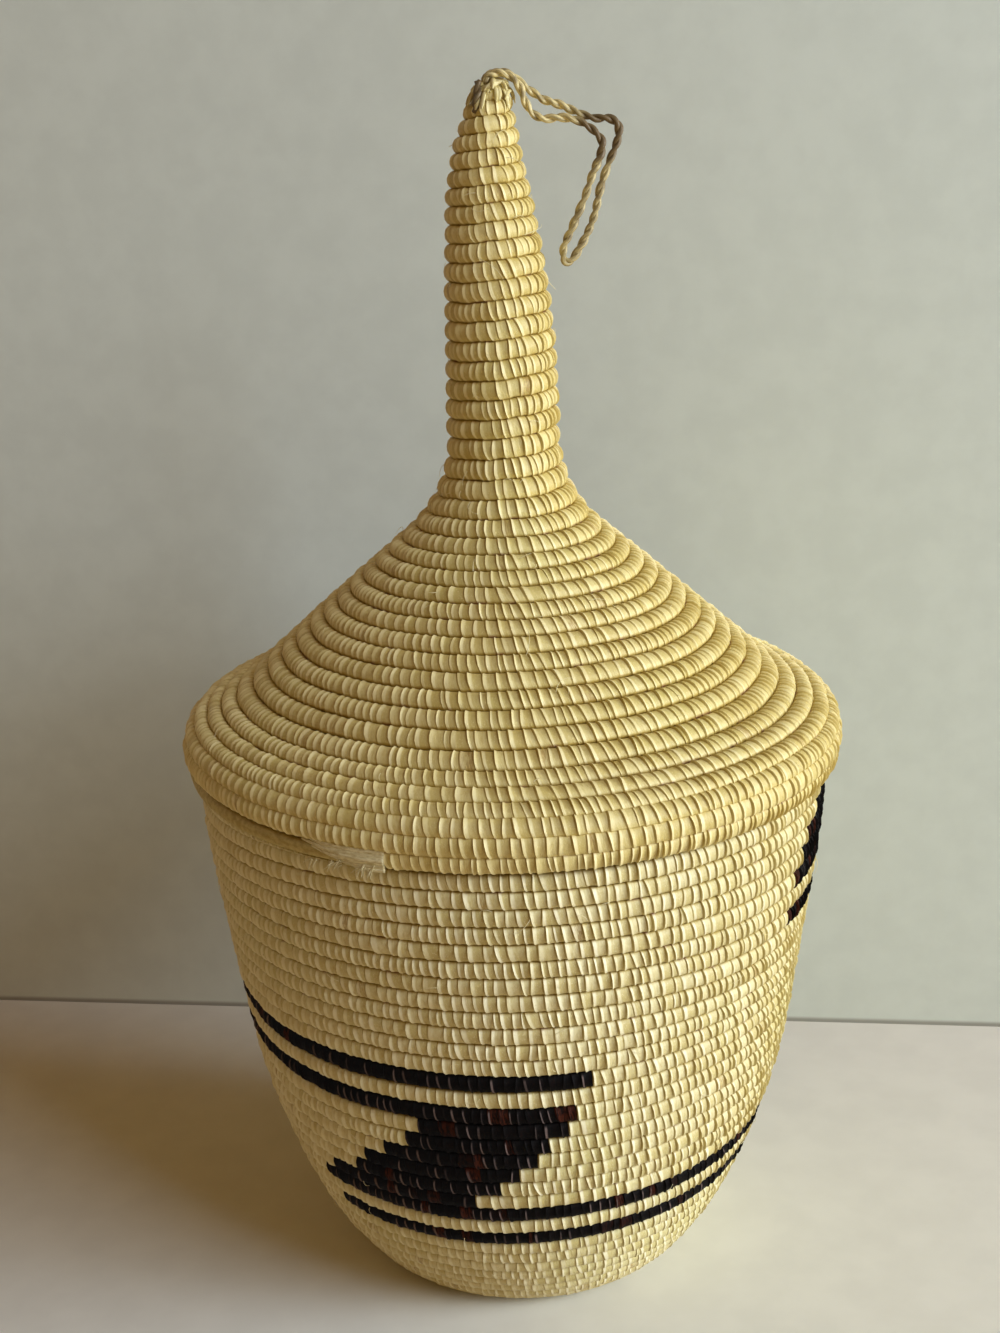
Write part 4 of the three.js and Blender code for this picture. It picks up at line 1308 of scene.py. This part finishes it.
class BASKET_OT_lid_frayed_end(bpy.types.Operator):
    """Makes the end of the lid's coil: the bare bundle, the frayed strand round it and its loose fibres"""

    bl_idname = "basket.lid_frayed_end"
    bl_label = "Frayed end"

    def execute(self, context):
        _, colours, _ = settings()
        line, share = arc_line(TAIL_START, LID_COIL_END, TAIL_WAY["radius"], TAIL_WAY["height"])
        width, thickness = (side * (0.8 + 0.2 * smooth_step(share / 0.3)) for side in TAIL_SIZE)
        bundle = tube_rings(line, line * (1, 1, 0), width, thickness, 12)
        # The bare tail bundle is painted in deep straw streaked with the gap's shade colour: painted shade
        # for its recess under the row above.
        strands = loose_strands("bundle_in_painted_shade", colours.straw_deep, colours.gap)
        tubes_piece("lid_coil_tail", [bundle], strands, "lid", ("lid_coil",))

        random = np.random.default_rng(12)
        tubes = [frayed_strip(*strip) for strip in STRIPS]
        tubes += [frayed_fibre(root, random) for root, number in TUFTS for _ in range(number)]
        strands = loose_strands("frayed_strands", colours.frayed, colours.frayed_shade)
        tubes_piece("lid_frayed_end", tubes, strands, "lid")
        return {"FINISHED"}


# Loose hairs: the stretch of each outline that has them, as distances from its start and from its
# end, and their number. Then their least length, the range of their bow in shares of the length, the
# share of half a turn that the bow takes, how far they curl in radians, how deep their root lies and
# how high they stay over the table, and their thickness at the root and how much of it goes by the end
BASKET_HAIRS = {"from_start": 50, "from_end": 6, "count": 90}
LID_HAIRS = {"from_start": 12, "from_end": 8, "count": 80}
HAIR_LENGTH = 1.2
HAIR_BOW = (0.06, 0.3)
HAIR_BOW_SHARE = 0.8
HAIR_CURL = 1.3
HAIR_ROOT = 0.15
HAIR_FLOOR = 0.1
HAIR_THICKNESS = 0.17
HAIR_THINS = 0.11


def loose_hairs(outline, lean, from_start, from_end, count, seed):
    """Thin fibres that stand off a wall: each starts on the outline, curls as it goes along the wall,
    and bows out of it by the sine of the share of its length."""
    random = np.random.default_rng(seed)
    angle = random.uniform(0, 2 * np.pi, count)
    distance = random.uniform(from_start, outline.length - from_end, count)
    heading = random.uniform(0, 2 * np.pi, count)
    length = HAIR_LENGTH + random.gamma(2.0, 1.0, count)
    bow = random.uniform(*HAIR_BOW, count) * length
    curl = random.uniform(-HAIR_CURL, HAIR_CURL, count)
    t = np.linspace(0, 1, 10)[None]
    turned = heading[:, None] + curl[:, None] * t
    along = distance[:, None] + length[:, None] * t * np.sin(turned)
    r, z, nr, nz = outline.at(np.clip(along, 1, outline.length))
    around = angle[:, None] + length[:, None] * t * np.cos(turned) / np.maximum(r, 6)
    out = bow[:, None] * np.sin(np.pi * t * HAIR_BOW_SHARE) - HAIR_ROOT
    radius, level = r + nr * out, np.maximum(z + nz * out, HAIR_FLOOR)
    lines = np.stack((radius * np.cos(around) + lean(level), radius * np.sin(around), level), -1)
    thin = HAIR_THICKNESS - HAIR_THINS * t[0]
    return [tube_rings(line, line - (0, 0, 100), thin, thin, 4) for line in lines]


class BASKET_OT_loose_hairs(bpy.types.Operator):
    """Makes the thin fibres that stand off the basket and the lid"""

    bl_idname = "basket.loose_hairs"
    bl_label = "Loose hairs"

    def execute(self, context):
        _, colours, _ = settings()
        # The hairs take as their own tone the palest straw, which on the coil is a painted highlight.
        hairs = loose_strands("loose_hairs", colours.straw_highlight_and_hairs, colours.straw_pale)
        tubes = loose_hairs(basket_outline(), upright, seed=41, **BASKET_HAIRS)
        tubes_piece("basket_hairs", tubes, hairs, "basket")
        tubes = loose_hairs(lid_outline(), spire_lean, seed=42, **LID_HAIRS)
        tubes_piece("lid_hairs", tubes, hairs, "lid")
        return {"FINISHED"}


# Stage: the wall's distance behind the basket in millimetres and its turn in degrees, and the windows'
# distance and the floor's side in metres
WALL_DISTANCE = 104.7
WALL_TURN = -6.8
WINDOW_DISTANCE = 1.6
WINDOW_COLOUR = (0.92, 1.0, 1.08)
ROOM_COLOUR = (1.0, 0.48, 0.11)
STAGE_SIZE = 4.0
FLOOR_GRAIN = 60.0
WALL_GRAIN = 90.0


class BASKET_OT_stage(bpy.types.Operator):
    """Makes the pale floor, the wall behind, the window light and the room light"""

    bl_idname = "basket.stage"
    bl_label = "Stage"

    def execute(self, context):
        _, colours, stage = settings()
        half = STAGE_SIZE / 2
        turn = math.tan(math.radians(WALL_TURN)) * half
        left, right = WALL_DISTANCE * MM - turn, WALL_DISTANCE * MM + turn
        floor = flat_surface(
            "floor", ((-half, -half, 0), (half, -half, 0), (half, half, 0), (-half, half, 0)),
            plain_surface("floor_paint", colours.floor, colours.floor_light, FLOOR_GRAIN),
        )
        wall = flat_surface(
            "backdrop", ((-half, left, 0), (half, right, 0), (half, right, half), (-half, left, half)),
            plain_surface("wall_paint", colours.wall, colours.wall_light, WALL_GRAIN, one_sided=True),
        )
        window_light("near_window", stage.near_window, stage.near_side, stage.near_rise, stage.window_size)
        window_light("far_window", stage.far_window, stage.far_side, stage.far_rise, stage.window_size)
        context.scene.world = room_light(stage.room, colours.wall)
        context.scene.view_settings.view_transform = "Standard"
        return {"FINISHED"}


def flat_surface(name, corners, material):
    """One rectangle of the stage."""
    mesh = bpy.data.meshes.new(name)
    mesh.from_pydata(corners, [], [(0, 1, 2, 3)])
    mesh.materials.append(material)
    return new_object(name, mesh)


def window_light(name, power, side, rise, size):
    """A square light that looks at the basket from an angle to the right and above the floor."""
    window = bpy.data.lights.new(name, "AREA")
    window.shape, window.size = "SQUARE", size
    window.energy = power
    window.color = WINDOW_COLOUR
    lamp = new_object(name, window)
    way = Vector((math.sin(side) * math.cos(rise), -math.cos(side) * math.cos(rise), math.sin(rise)))
    lamp.location = way * WINDOW_DISTANCE + Vector((0, 0, BASKET_HEIGHT * MM))
    lamp.rotation_euler = way.to_track_quat("Z", "Y").to_euler()


def room_light(strength, pale):
    """Even warm light all round, which the camera and reflections see as a pale room."""
    nodes = Nodes(bpy.data.worlds.new("room"))
    light = nodes.tree.nodes["Background"]
    nodes.set(light.inputs["Color"], colour(ROOM_COLOUR))
    nodes.set(light.inputs["Strength"], strength)
    pale_room = nodes.add("ShaderNodeBackground", Color=colour(pale))
    mixed = nodes.blend(nodes.seen(), light.outputs[0], pale_room.outputs[0])
    nodes.set(nodes.tree.nodes["World Output"].inputs["Surface"], mixed)
    return nodes.owner


class BASKET_PT_panel(bpy.types.Panel):
    """Sidebar panel with the settings and a button for each piece"""

    bl_idname = "BASKET_PT_panel"
    bl_label = "Coiled Basket"
    bl_space_type = "VIEW_3D"
    bl_region_type = "UI"
    bl_category = "Basket"

    def draw(self, context):
        for group in settings():
            box = self.layout.box()
            for key in group.__annotations__:
                box.prop(group, key)
        for operator in OPERATORS:
            self.layout.operator(operator.bl_idname)


GROUPS = {"basket_sizes": BasketSizes, "basket_colours": BasketColours, "basket_stage": StageSettings}
OPERATORS = (
    BASKET_OT_camera, BASKET_OT_hanging_loop, BASKET_OT_basket, BASKET_OT_lid, BASKET_OT_lid_tip,
    BASKET_OT_lid_frayed_end, BASKET_OT_collar, BASKET_OT_loose_hairs, BASKET_OT_stage,
)


def register():
    """Registers the settings, the operators and the panel."""
    for name, group in GROUPS.items():
        bpy.utils.register_class(group)
        setattr(bpy.types.Scene, name, PointerProperty(type=group))
    for kind in (*OPERATORS, BASKET_PT_panel):
        bpy.utils.register_class(kind)


def unregister():
    """Takes back what register did."""
    for kind in (BASKET_PT_panel, *reversed(OPERATORS)):
        bpy.utils.unregister_class(kind)
    for name, group in GROUPS.items():
        delattr(bpy.types.Scene, name)
        bpy.utils.unregister_class(group)


def main():
    register()
    for operator in OPERATORS:
        group, name = operator.bl_idname.split(".")
        getattr(getattr(bpy.ops, group), name)()


if __name__ == "__main__":
    main()
